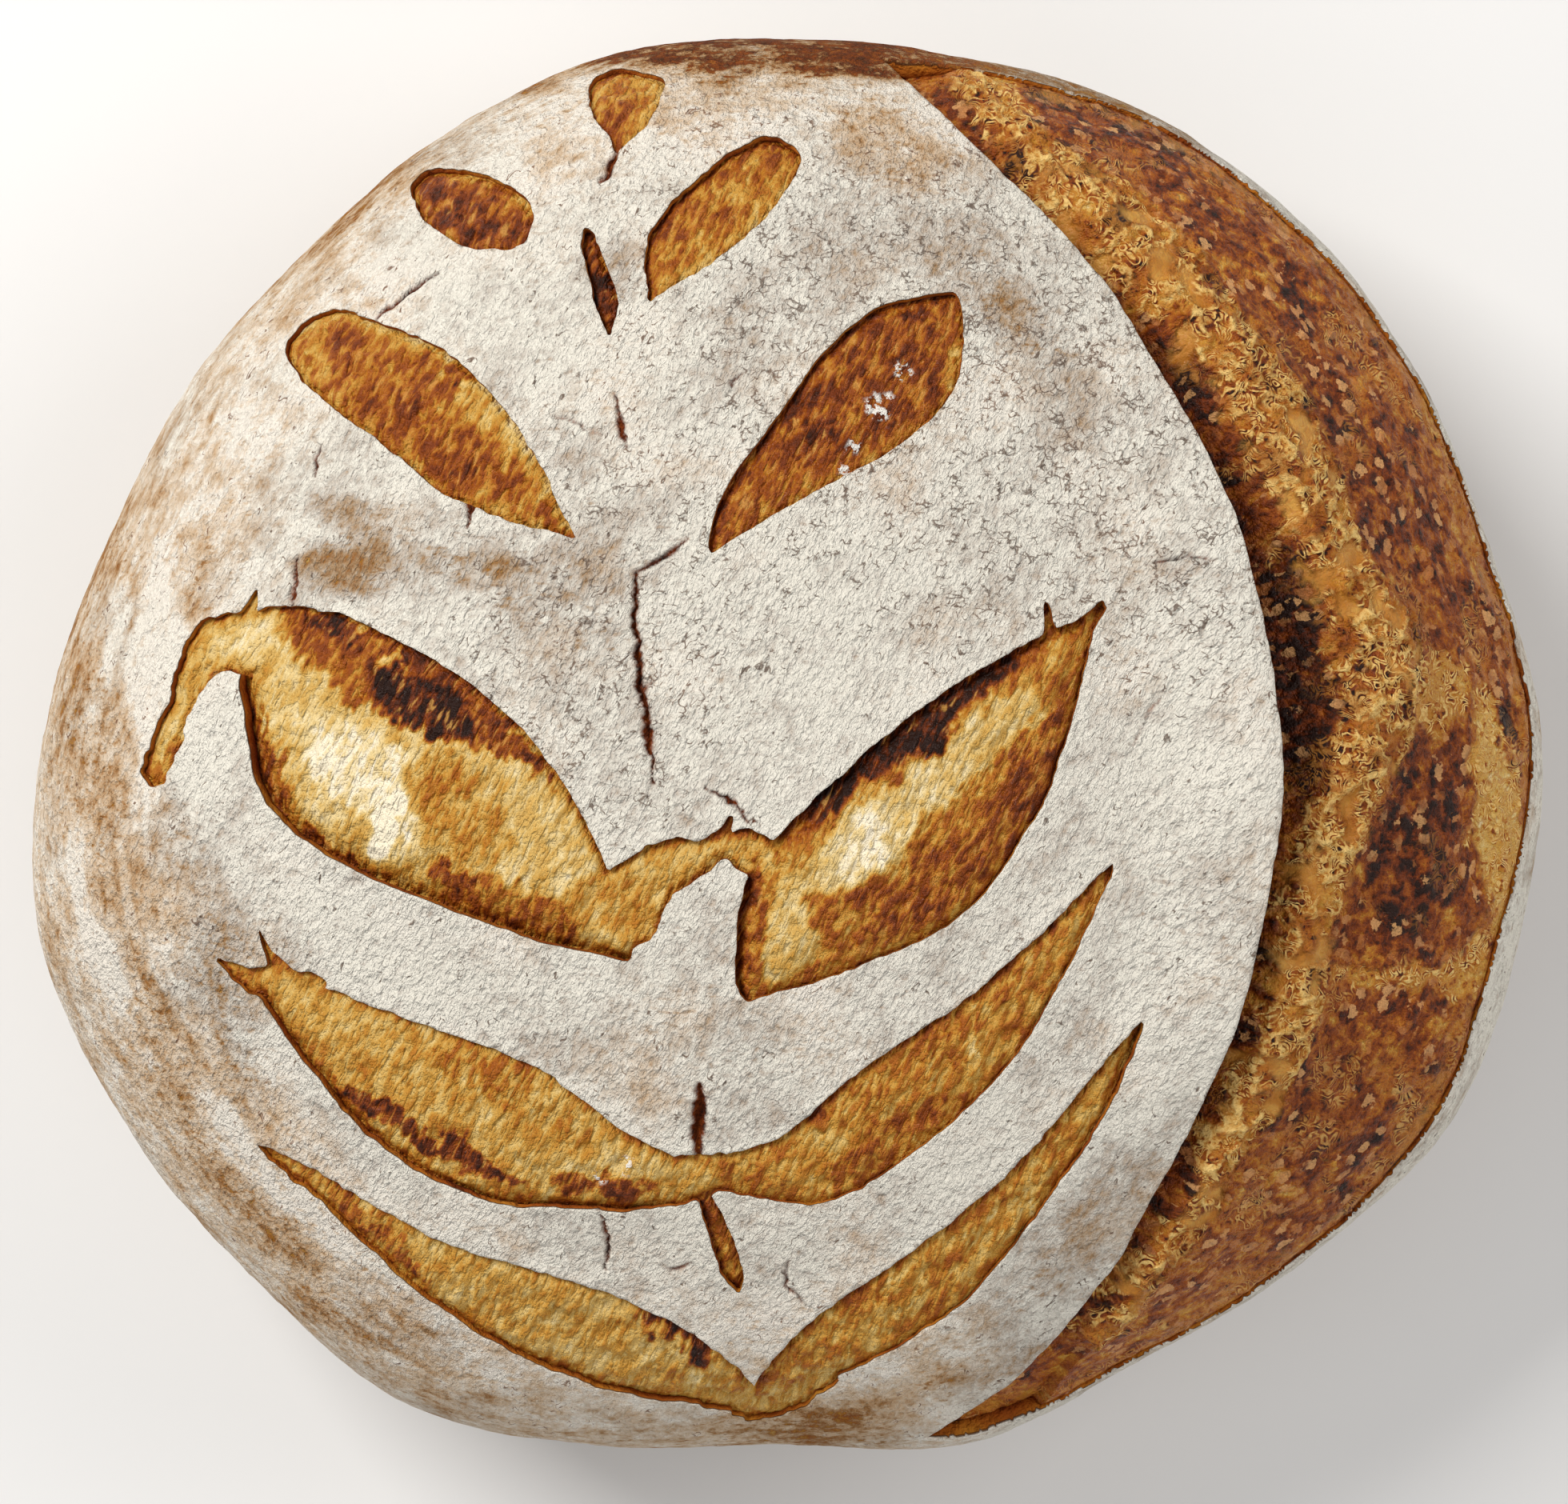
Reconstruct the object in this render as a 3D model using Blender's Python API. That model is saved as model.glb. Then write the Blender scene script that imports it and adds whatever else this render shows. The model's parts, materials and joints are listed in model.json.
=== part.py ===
"""A round sourdough loaf with a leaf pattern scored into its floured top and one long crescent cut that burst open.

The loaf is one closed solid. It starts as an icosphere, and functions of the named sizes below turn the
sphere into the loaf: the outline, the dome and the heel first, then the burst with its overhanging ear,
then the opened leaf scores and the stem cracks. A Decimate modifier then spends the faces where the form bends.
The origin is the middle of the footprint on the table, +X is across the burst, +Z is up.
"""

import math

import bmesh
import bpy
import numpy as np

# ---- driving sizes, in millimetres ----
HEIGHT = 92.5        # crown over the table
GIRTH_AT = 39.0      # height at which the loaf is widest
BASE_SHARE = 0.74    # radius of the flat base over the outline's radius
DOME_POWER = 2.08    # 2 is an ellipse, more gives a flatter top and fuller shoulders
HEEL_POWER = 2.20    # the same below the girth
# Outline radius at the girth every 15 degrees, anticlockwise from +X. The loaf proved unevenly.
RADII = (
    112.0, 108.6, 108.4, 108.6, 107.7, 105.0, 104.3, 105.0, 103.3, 101.9, 103.1, 105.2,
    110.2, 114.2, 112.8, 111.6, 112.7, 107.5, 103.9, 107.4, 105.6, 108.6, 113.2, 112.6,
)
SWELL = ((1.6, 0.3, 28.0, -20.0), (1.2, -38.0, 30.0, 22.0), (-1.4, -30.0, 26.0, -78.0))  # height, x, y, width

# The scores lie on the dome where someone sees them who looks straight down from EYE over the table.
# Their sizes are true at the height TRUE_AT.
EYE = 750.0
TRUE_AT = 45.0

# Each leaf is a chord from its inner to its outer tip and how far its two sides bow from the chord,
# at six stations that crowd towards the tips. Then how deep its floor lies below the skin at its left
# and at its right side, going from the first tip to the second, and how far the middle swells up again.
LEAVES = {
    "crown_drop": ((-25, 87), (-23, 99), (0.5, 1.7, 4.2, 5.2, 4.8, 2.9), (-0.6, -2.1, -4.0, -5.1, -5.5, -5.0), (1.8, 1.5, 0.9)),
    "first_left": ((-55, 82), (-38, 74), (2.9, 4.4, 5.6, 5.6, 4.8, 2.6), (-0.7, -2.3, -3.3, -3.2, -2.1, -0.6), (2.2, 1.5, 0.6)),
    "first_right": ((-20, 65), (2, 87), (2.0, 6.6, 8.0, 7.6, 6.4, 4.6), (-0.4, -1.5, -2.7, -3.4, -2.9, -1.6), (2.4, 1.6, 1.0)),
    "stem_top": ((-30, 76), (-26, 60), (1.4, 1.8, 2.1, 2.4, 2.0, 0.6), (-0.2, -0.7, -0.9, -1.0, -0.7, -0.2), (1.8, 1.8, 0.0)),
    "second_left": ((-73, 59), (-31, 30), (7.3, 9.9, 11.9, 10.0, 5.7, 1.3), (-2.9, -4.3, -4.6, -5.4, -3.3, -0.8), (2.6, 1.8, 1.4)),
    "second_right": ((-11, 28), (25, 66), (2.5, 5.3, 6.5, 8.1, 7.8, 3.2), (-0.8, -2.7, -6.1, -9.5, -9.4, -3.9), (2.6, 1.6, 1.2)),
    "third_left": ((-80, 10), (-23, -32), (14.0, 17.2, 18.9, 16.8, 10.4, 4.0), (-4.0, -12.7, -13.8, -10.0, -6.0, -1.8), (4.2, 6.0, 3.6)),
    "third_right": ((-6, -38), (47, 20), (5.4, 12.4, 12.3, 10.2, 6.0, 1.7), (-2.6, -8.9, -15.1, -13.6, -7.4, -1.2), (6.0, 2.6, 2.8)),
    "fourth_left": ((-80, -35), (-14, -65), (4.1, 4.3, 5.1, 6.3, 3.3, 2.6), (-1.3, -7.1, -13.4, -14.8, -10.2, -5.3), (3.0, 2.0, 1.6)),
    "fourth_right": ((-14, -65), (48, -18), (1.6, -2.5, -1.7, -2.8, -1.7, -0.3), (-4.5, -14.3, -16.2, -14.4, -8.4, -2.7), (3.0, 1.8, 1.4)),
    "stem_low": ((-13, -66), (-7, -81), (1.5, 1.9, 2.3, 2.4, 2.1, 1.0), (-0.2, -0.7, -0.9, -1.1, -1.2, -0.3), (2.0, 2.0, 0.0)),
    "fifth_left": ((-74, -60), (-4, -98), (-0.3, -0.7, 0.0, 3.7, 5.2, 3.5), (-2.0, -5.9, -9.1, -9.7, -6.4, -0.9), (2.6, 2.0, 1.2)),
    "fifth_right": ((-5, -97), (52, -40), (2.0, 2.3, -0.9, -2.8, -2.0, -0.4), (-3.2, -7.4, -11.6, -10.1, -6.9, -2.6), (2.6, 1.8, 1.0)),
}
# Torn strips that join or leave the big pair: start, bend, end, the two end widths, floor depth.
TEARS = {
    "hook": ((-72, 16), (-88, 18), (-92, -5), 4.6, 5.2, 1.8),
    "bridge": ((-25, -23), (-18, -14), (-5, -18), 5.0, 3.6, 1.8),
}
# Cracks in the skin: start, bend, end, width, depth.
CRACKS = (
    ((-22.5, 25), (-22, 10), (-19.5, -6), 1.3, 1.6),
    ((-14.7, 30), (-18, 27), (-22.5, 25), 0.9, 0.9),
    ((-25.3, 51.5), (-24.4, 47), (-23.7, 43.6), 0.9, 0.9),
    ((-12.6, -50.5), (-13, -56), (-12.6, -61), 1.7, 1.6),
)

# The burst. Where the edge of its ear is seen, as X at every 15 mm of Y from 100 down to -110.
EAR_EDGE = (15.3, 31.2, 45.3, 54.8, 62.2, 66.9, 70.3, 71.8, 70.3, 67.4, 62.2, 55.1, 46.3, 32.3, 7.5)
EAR_FROM, EAR_STEP = 100.0, -15.0
EAR_OVERHANG = 4.0   # how far the ear reaches out over the burst at its middle
EAR_LIFT = 3.2       # how far its edge stands up
EAR_THICK = 2.4      # thickness of that edge
EAR_REACH = 62.0     # half length of the stretch that stands out, along Y
GROOVE_DEEP = 8.0    # the burst's floor below the skin, in under the ear
RIDGE_AT = 13.0      # from the ear's edge out to the burst's ridge, at the middle
# Height of the lower edge of the burst every 20 degrees from -80 to 80.
BURST_FOOT = (54.0, 50.0, 52.0, 57.0, 48.0, 43.0, 44.0, 47.0, 54.0)

SPHERE_LEVEL = 8     # icosphere subdivisions, one edge is about 1.3 mm on the loaf
MOST_FACES = 9400


def smooth(x):
    x = np.clip(x, 0.0, 1.0)
    return x * x * (3.0 - 2.0 * x)


def through(knots, x):
    """A smooth curve through evenly spaced knots, read at x from 0 to 1 (Catmull-Rom)."""
    k = np.asarray(knots, float)
    n = len(k) - 1
    k = np.concatenate([[2 * k[0] - k[1]], k, [2 * k[-1] - k[-2]]])
    s = np.clip(np.asarray(x, float) * n, 0.0, n - 1e-9)
    i = s.astype(int)
    f = s - i
    a, b, c, d = k[i], k[i + 1], k[i + 2], k[i + 3]
    return b + 0.5 * f * (c - a + f * (2 * a - 5 * b + 4 * c - d + f * (3 * (b - c) + d - a)))


def outline(theta):
    """Radius of the girth, a closed curve through RADII."""
    k = np.array(RADII)
    s = (np.asarray(theta) / math.radians(15.0)) % 24.0
    i = s.astype(int) % 24
    f = s - np.floor(s)
    a, b, c, d = k[(i - 1) % 24], k[i], k[(i + 1) % 24], k[(i + 2) % 24]
    return b + 0.5 * f * (c - a + f * (2 * a - 5 * b + 4 * c - d + f * (3 * (b - c) + d - a)))


def meridian():
    """From the crown to the middle of the base: share of the outline's radius, height, length so far."""
    t = np.linspace(0.0, math.pi / 2, 600)
    e, h = 2.0 / DOME_POWER, 2.0 / HEEL_POWER
    share = np.concatenate([
        np.sin(t) ** e,
        (BASE_SHARE + (1 - BASE_SHARE) * np.cos(t) ** h)[1:],
        np.linspace(BASE_SHARE, 0.0, 50)[1:],
    ])
    height = np.concatenate([
        GIRTH_AT + (HEIGHT - GIRTH_AT) * np.cos(t) ** e,
        (GIRTH_AT * (1 - np.sin(t) ** h))[1:],
        np.zeros(49),
    ])
    step = np.hypot(np.diff(share * np.mean(RADII)), np.diff(height))
    return share, height, np.concatenate([[0.0], np.cumsum(step)])


SHARE, LEVEL, LENGTH = meridian()
GIRTH_LENGTH = LENGTH[599]
RIM_LENGTH = LENGTH[1198]
HEIGHT_ORDER = slice(1198, None, -1)


def plain_loaf(theta, m):
    """A point of the loaf before it was scored, and which way its surface faces."""
    share = np.interp(m, LENGTH, SHARE)
    z = np.interp(m, LENGTH, LEVEL)
    even = np.mean(RADII)
    uneven = 1.0 - 0.45 * smooth((GIRTH_AT - z) / GIRTH_AT)
    r = share * (even + (outline(theta) - even) * uneven)
    x, y = r * np.cos(theta), r * np.sin(theta)
    up = smooth((z - GIRTH_AT) / (HEIGHT - GIRTH_AT))
    for rise, cx, width, cy in SWELL:
        z = z + rise * up * np.exp(-((x - cx) ** 2 + (y - cy) ** 2) / width**2)
    d = 0.5
    s1, s0 = np.interp(m + d, LENGTH, SHARE), np.interp(m - d, LENGTH, SHARE)
    z1, z0 = np.interp(m + d, LENGTH, LEVEL), np.interp(m - d, LENGTH, LEVEL)
    out, rise = z0 - z1, (s1 - s0) * even
    size = np.maximum(np.hypot(out, rise), 1e-9)
    out, rise = out / size, rise / size
    facing = np.stack([out * np.cos(theta), out * np.sin(theta), rise], -1)
    return np.stack([x, y, z], -1), facing


def seen(p):
    """Where the eye over the loaf sees a point, as sizes that are true at TRUE_AT."""
    k = (EYE - TRUE_AT) / (EYE - p[:, 2])
    return p[:, 0] * k, p[:, 1] * k


def leaf_edge(a, b, left, right, count=28):
    """The closed edge of a leaf score, and the chord it is measured from."""
    a, b = np.array(a, float), np.array(b, float)
    along = (b - a) / np.hypot(*(b - a))
    across = np.array([-along[1], along[0]])
    x = np.linspace(0.0, 1.0, count)
    t = (1 - np.cos(math.pi * x)) / 2
    sides = []
    for bow in (left, right):
        off = through((0.0, *bow, 0.0), x)
        sides.append(a + t[:, None] * (b - a) + off[:, None] * across)
    return np.concatenate([sides[0], sides[1][-2:0:-1]])


def bend(a, c, b, count=16):
    t = np.linspace(0.0, 1.0, count)[:, None]
    a, b, c = (np.array(p, float) for p in (a, b, c))
    return (1 - t) ** 2 * a + 2 * t * (1 - t) * c + t * t * b


def from_line(u, v, line):
    """Distance to a polyline, how far along it the nearest point lies (0 to 1), and on which side."""
    best = np.full(u.shape, 1e9)
    along = np.zeros(u.shape)
    side = np.zeros(u.shape)
    count = len(line) - 1
    for k in range(count):
        (x0, y0), (x1, y1) = line[k], line[k + 1]
        dx, dy = x1 - x0, y1 - y0
        f = np.clip(((u - x0) * dx + (v - y0) * dy) / (dx * dx + dy * dy + 1e-12), 0.0, 1.0)
        d = np.hypot(u - x0 - f * dx, v - y0 - f * dy)
        near = d < best
        best = np.where(near, d, best)
        along = np.where(near, (k + f) / count, along)
        side = np.where(near, np.sign(dx * (v - y0) - dy * (u - x0)), side)
    return best, along, side


def in_edge(u, v, edge):
    """Distance to a closed edge, positive inside."""
    ring = np.concatenate([edge, edge[:1]])
    d, _, _ = from_line(u, v, ring)
    inside = np.zeros(u.shape, bool)
    for (x0, y0), (x1, y1) in zip(ring[:-1], ring[1:]):
        if y0 != y1:
            hit = ((y0 > v) != (y1 > v)) & (u < x0 + (v - y0) * (x1 - x0) / (y1 - y0))
            inside ^= hit
    return np.where(inside, d, -d)


def scores(u, v, on_top):
    """How far inside a leaf or a tear each point lies (negative outside), and how deep its floor is there."""
    inner = np.full(u.shape, -99.0)
    deep = np.zeros(u.shape)
    for a, b, left, right, (deep_left, deep_right, swell) in LEAVES.values():
        edge = leaf_edge(a, b, left, right)
        lo, hi = edge.min(0) - 12, edge.max(0) + 12
        near = np.flatnonzero(on_top & (u > lo[0]) & (u < hi[0]) & (v > lo[1]) & (v < hi[1]))
        d = in_edge(u[near], v[near], edge)
        a, b = np.array(a, float), np.array(b, float)
        along = (b - a) / np.hypot(*(b - a))
        t = np.clip(((u[near] - a[0]) * along[0] + (v[near] - a[1]) * along[1]) / np.hypot(*(b - a)), 0, 1)
        off = (v[near] - a[1]) * along[0] - (u[near] - a[0]) * along[1]
        x = np.arccos(1 - 2 * t) / math.pi
        up, low = through((0.0, *left, 0.0), x), through((0.0, *right, 0.0), x)
        share = np.clip((off - low) / np.maximum(up - low, 0.3), 0, 1)
        wide = np.maximum(up - low, 0.3)
        floor = deep_right + (deep_left - deep_right) * smooth(share)
        floor = floor - swell * smooth(2.2 * np.minimum(share, 1 - share)) * smooth(wide / 12.0)
        floor = floor * smooth(0.35 + wide / 8.0)
        take = d > inner[near]
        inner[near] = np.where(take, d, inner[near])
        deep[near] = np.where(take, floor, deep[near])
    for a, c, b, w0, w1, depth in TEARS.values():
        line = bend(a, c, b)
        lo, hi = line.min(0) - 12, line.max(0) + 12
        near = np.flatnonzero(on_top & (u > lo[0]) & (u < hi[0]) & (v > lo[1]) & (v < hi[1]))
        d, along, _ = from_line(u[near], v[near], line)
        d = (w0 + (w1 - w0) * along) / 2 - d
        take = d > inner[near]
        deep[near] = np.where(take, np.where(inner[near] > 0, np.minimum(depth, deep[near]), depth), deep[near])
        inner[near] = np.where(take, d, inner[near])
    return inner, deep


def ear_line():
    y = np.linspace(0.0, 1.0, 60)
    x = through(EAR_EDGE, y)
    y = EAR_FROM + y * EAR_STEP * (len(EAR_EDGE) - 1)
    line = np.stack([x, y], -1)
    first, last = line[0] - line[1], line[-1] - line[-2]
    return np.concatenate([[line[0] + 12 * first], line, [line[-1] + 12 * last]])


def loaf_surface(rays):
    """Where each ray of the unit sphere meets the finished loaf."""
    theta = np.arctan2(rays[:, 1], rays[:, 0])
    m = np.arccos(np.clip(rays[:, 2], -1, 1)) / math.pi * LENGTH[-1]
    p, facing = plain_loaf(theta, m)
    u, v = seen(p)
    on_top = m < GIRTH_LENGTH

    # the burst: right of the ear's root and over its lower edge
    from_ear, _, side = from_line(u, v, ear_line())
    from_ear = from_ear * np.sign(side)
    stretch = smooth(1.25 - np.abs(v - 2.0) / EAR_REACH)
    root = from_ear + EAR_OVERHANG * stretch
    foot_z = through(BURST_FOOT, (np.degrees(theta) + 80.0) / 160.0)
    foot_m = np.interp(foot_z, LEVEL[HEIGHT_ORDER], LENGTH[HEIGHT_ORDER])
    over_foot = foot_m - m
    facing_side = np.abs(np.degrees(theta)) < 92.0
    burst = np.where(facing_side, np.minimum(root, over_foot), -99.0)

    # the burst's floor: a groove under the ear, a ridge, a shallow dip, and the torn lower edge
    share = np.clip(1.12 - np.abs(v - 2.0) / 118.0, 0.12, 1.0)
    ridge = RIDGE_AT * share
    out = from_ear / ridge
    groove = GROOVE_DEEP * share * (1 - smooth((out + 0.30) / 1.25))
    dip = 1.6 * share * smooth(out - 1.0) * smooth(over_foot / 14.0)
    floor = (0.4 + groove + dip) * smooth(over_foot / 5.0) + 0.8 * np.exp(-((over_foot - 2.5) / 2.0) ** 2)

    # the ear: skin that reaches out over the groove and stands up, with a thick edge and a hollow under it
    ear = np.where(facing_side, stretch * smooth(over_foot / 10.0), 0.0)
    s = np.maximum(-root, 0.0)
    skin_reach = EAR_OVERHANG * np.exp(-((s / 8.0) ** 2))
    skin_lift = EAR_LIFT * np.exp(-((s / 11.0) ** 2))
    under_reach = np.interp(root, (0.0, 1.6, 3.4, 5.0, 8.0), (EAR_OVERHANG, EAR_OVERHANG - 1.6, -1.6, -1.0, 0.0))
    under = np.interp(root, (0.0, 1.6, 3.4, 5.0), (-EAR_LIFT, EAR_THICK - EAR_LIFT, 5.6, GROOVE_DEEP))
    blend = smooth((root - 3.4) / 2.4)
    inside = burst > 0.0
    reach = ear * np.where(inside, under_reach, skin_reach)
    lift = np.where(inside, 0.0, ear * skin_lift)
    plain_wall = smooth(root / 2.4) * floor
    sink = np.where(inside, ear * ((1 - blend) * under + blend * floor) + (1 - ear) * plain_wall, 0.0)

    # the leaf scores, then the cracks
    inner, deep = scores(u, v, on_top & (burst < -3.0))
    opened = smooth(inner / 2.4 + 0.5)
    sink = sink + opened * deep
    lift = lift + 0.9 * np.exp(-np.maximum(-inner, 0) / 3.0) * (1 - opened) * (inner > -20) * smooth(deep / 2.0)
    for a, c, b, width, depth in CRACKS:
        d, _, _ = from_line(u, v, bend(a, c, b))
        sink = np.maximum(sink, np.where(on_top, depth * np.exp(-((d / width) ** 2)), 0.0))

    p = p + facing * (lift - sink)[:, None]
    outward = np.stack([np.cos(theta), np.sin(theta), np.zeros_like(theta)], -1)
    p = p + outward * reach[:, None]
    p[:, 2] = np.where(m >= RIM_LENGTH, 0.0, np.maximum(p[:, 2], 0.0))
    return p


def centred(p):
    """The footprint's middle brought to the origin."""
    middle = (p.max(0) + p.min(0)) / 2
    return p - np.array([middle[0], middle[1], 0.0])


for old in list(bpy.data.objects):
    bpy.data.objects.remove(old, do_unlink=True)

group = bpy.data.collections.new("sourdough_loaf")
bpy.context.scene.collection.children.link(group)

cage = bmesh.new()
bmesh.ops.create_icosphere(cage, subdivisions=SPHERE_LEVEL, radius=1.0)
mesh = bpy.data.meshes.new("loaf_fine")
cage.to_mesh(mesh)
cage.free()

rays = np.empty(len(mesh.vertices) * 3)
mesh.vertices.foreach_get("co", rays)
rays = rays.reshape(-1, 3)
rays /= np.linalg.norm(rays, axis=1)[:, None]
points = centred(loaf_surface(rays)) / 1000.0
mesh.vertices.foreach_set("co", points.ravel())
mesh.update()

fine = bpy.data.objects.new("loaf_fine", mesh)
group.objects.link(fine)
spend = fine.modifiers.new("spend", "DECIMATE")
spend.ratio = MOST_FACES / len(mesh.polygons)
bpy.context.view_layer.update()
graph = bpy.context.evaluated_depsgraph_get()
solid = bpy.data.meshes.new_from_object(fine.evaluated_get(graph))
bpy.data.objects.remove(fine, do_unlink=True)

# the base is flat on the table
flat = np.empty(len(solid.vertices) * 3)
solid.vertices.foreach_get("co", flat)
flat = flat.reshape(-1, 3)
flat[np.abs(flat[:, 2]) < 5e-5, 2] = 0.0
solid.vertices.foreach_set("co", flat.ravel())
solid.update()
solid.name = "loaf"
solid.shade_smooth()
solid.set_sharp_from_angle(angle=math.radians(40))

loaf = bpy.data.objects.new("loaf", solid)
group.objects.link(loaf)


def crust(name, colour, roughness):
    made = bpy.data.materials.new(name)
    made.use_nodes = True
    shader = made.node_tree.nodes["Principled BSDF"]
    shader.inputs["Base Color"].default_value = (*colour, 1.0)
    shader.inputs["Roughness"].default_value = roughness
    shader.inputs["Metallic"].default_value = 0.0
    return made


solid.materials.clear()
solid.materials.append(crust("floured_crust", (0.74, 0.69, 0.64), 0.95))
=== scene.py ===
"""The looks of a round sourdough loaf: floured skin, opened leaf scores, and the long burst under its ear.

Two closed pieces stand for the loaf's one solid. "crumb" is the body that swelled in the oven, baked where it
shows. "skin" is the floured crust over it, with holes where the scores opened and with the ear's free edge.
Both are triangulated over the same flat map of the loaf: a point's direction in the map is its direction round
the crown, and its distance from the map's middle is its distance from the crown along the surface.
"""

import json
import math

import bpy
import numpy as np
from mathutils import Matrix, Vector
from mathutils.geometry import delaunay_2d_cdt

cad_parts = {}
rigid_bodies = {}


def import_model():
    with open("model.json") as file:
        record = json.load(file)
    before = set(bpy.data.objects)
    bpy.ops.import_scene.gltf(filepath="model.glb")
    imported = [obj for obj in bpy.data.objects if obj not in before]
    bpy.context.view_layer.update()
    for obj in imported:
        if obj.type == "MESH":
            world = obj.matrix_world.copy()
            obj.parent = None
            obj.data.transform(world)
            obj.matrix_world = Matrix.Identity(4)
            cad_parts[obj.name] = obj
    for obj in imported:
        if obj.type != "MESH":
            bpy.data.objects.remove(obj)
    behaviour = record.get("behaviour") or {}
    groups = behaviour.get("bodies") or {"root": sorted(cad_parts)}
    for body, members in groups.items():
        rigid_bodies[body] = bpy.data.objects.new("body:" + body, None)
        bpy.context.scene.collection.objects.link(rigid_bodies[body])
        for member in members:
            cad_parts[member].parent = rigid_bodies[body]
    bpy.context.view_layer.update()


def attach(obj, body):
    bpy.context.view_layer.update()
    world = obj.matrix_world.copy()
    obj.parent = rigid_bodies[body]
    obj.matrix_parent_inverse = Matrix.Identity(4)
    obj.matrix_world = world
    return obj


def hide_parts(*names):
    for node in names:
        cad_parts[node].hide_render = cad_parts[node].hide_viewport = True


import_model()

# ---- sizes, in millimetres ----
HEIGHT = 92.5
GIRTH_AT = 39.0
BASE_SHARE = 0.74
DOME_POWER = 2.08
HEEL_POWER = 2.20
RADII = (
    112.0, 108.6, 108.4, 108.6, 107.7, 105.0, 104.3, 105.0, 103.3, 101.9, 103.1, 105.2,
    110.2, 114.2, 112.8, 111.6, 112.7, 107.5, 103.9, 107.4, 105.6, 108.6, 113.2, 112.6,
)
SWELL = ((1.6, 0.3, 28.0, -20.0), (1.2, -38.0, 30.0, 22.0), (-1.4, -30.0, 26.0, -78.0))
EYE = 750.0
TRUE_AT = 45.0

# Leaf scores: inner tip, outer tip, bow of the left and of the right side at six stations.
LEAVES = {
    "crown_drop": ((-25, 87), (-23, 99), (0.5, 1.7, 4.2, 5.2, 4.8, 2.9), (-0.6, -2.1, -4.0, -5.1, -5.5, -5.0)),
    "first_left": ((-55, 82), (-38, 74), (2.6, 4.3, 5.7, 6.0, 5.6, 3.8), (-1.6, -3.8, -4.8, -4.8, -3.4, -1.8)),
    "first_right": ((-20, 65), (2, 87), (2.0, 6.6, 8.0, 7.6, 6.4, 4.6), (-0.4, -1.5, -2.7, -3.4, -2.9, -1.6)),
    "stem_top": ((-30, 76), (-26, 60), (1.4, 1.8, 2.1, 2.4, 2.0, 0.6), (-0.2, -0.7, -0.9, -1.0, -0.7, -0.2)),
    "second_left": ((-73, 59), (-31, 30), (7.3, 9.9, 11.9, 10.0, 5.7, 1.3), (-2.9, -4.3, -4.6, -5.4, -3.3, -0.8)),
    "second_right": ((-11, 28), (25, 66), (2.5, 5.3, 6.5, 8.1, 7.2, 2.4), (-0.8, -2.7, -6.1, -9.5, -9.4, -3.9)),
    "third_left": ((-80, 10), (-23, -32), (14.0, 17.2, 18.9, 16.8, 10.4, 4.0), (-4.0, -12.7, -13.8, -10.0, -6.0, -1.8)),
    "third_right": ((-6, -38), (47, 20), (5.4, 12.4, 12.3, 10.2, 6.0, 1.7), (-2.6, -8.9, -15.1, -13.6, -7.4, -1.2)),
    "fourth_left": ((-80, -35), (-14, -65), (4.1, 4.3, 5.1, 6.3, 3.3, 2.6), (-1.3, -7.1, -13.4, -14.8, -10.2, -5.3)),
    "fourth_right": ((-14, -65), (48, -18), (1.6, -2.5, -1.7, -2.8, -1.7, -0.3), (-4.5, -14.3, -16.2, -14.4, -8.4, -2.7)),
    "stem_low": ((-13, -66), (-7, -81), (1.5, 1.9, 2.3, 2.4, 2.1, 1.0), (-0.2, -0.7, -0.9, -1.1, -1.2, -0.3)),
    "fifth_left": ((-74, -60), (-4, -98), (-0.3, -0.7, 0.0, 3.7, 5.2, 3.5), (-2.0, -5.9, -9.1, -9.7, -6.4, -0.9)),
    "fifth_right": ((-5, -97), (52, -40), (2.0, 2.3, -0.9, -2.8, -2.0, -0.4), (-3.2, -7.4, -11.6, -10.1, -6.9, -2.6)),
}
# What each opening's floor is like: depth below the skin, extra depth of the gap along its left and its right
# edge, width of those gaps, swell of the middle, bake level, and how much darker the left and right edges are drawn,
# partly as browner crust and partly as painted shade under the skin's lip.
FLOORS = {
    "crown_drop": (0.3, 0.2, 0.2, 0.8, 0.8, 0.3, 0.50, 0.10, -0.20),
    "first_left": (0.4, 0.3, 0.3, 0.8, 0.8, 0.2, 0.82, -0.36, -0.30),
    "first_right": (0.3, 0.6, 0.1, 1.3, 0.9, 0.5, 0.50, 0.28, -0.20),
    "stem_top": (0.8, 0.4, 0.4, 0.6, 0.6, 0.0, 0.72, 0.15, 0.15),
    "second_left": (0.3, 0.3, 0.3, 1.1, 0.8, 0.7, 0.54, -0.30, -0.12),
    "second_right": (0.3, 0.7, 0.1, 1.4, 0.9, 0.6, 0.67, 0.26, -0.20),
    "third_left": (0.4, 0.3, 1.7, 1.0, 3.2, 1.5, 0.18, 0.34, 0.40),
    "third_right": (0.4, 1.4, 0.2, 2.6, 0.8, 1.6, 0.46, 0.36, 0.12),
    "fourth_left": (0.3, 0.2, 0.9, 0.7, 1.2, 0.8, 0.30, 0.18, 0.38),
    "fourth_right": (0.3, 0.6, 0.1, 0.9, 0.6, 0.6, 0.42, 0.26, 0.08),
    "stem_low": (0.6, 0.4, 0.4, 0.8, 0.8, 0.0, 0.48, 0.20, 0.26),
    "fifth_left": (0.3, 0.2, 0.5, 0.7, 1.1, 0.6, 0.28, 0.12, 0.28),
    "fifth_right": (0.3, 0.5, 0.1, 0.8, 0.6, 0.4, 0.38, 0.28, 0.08),
}
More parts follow.
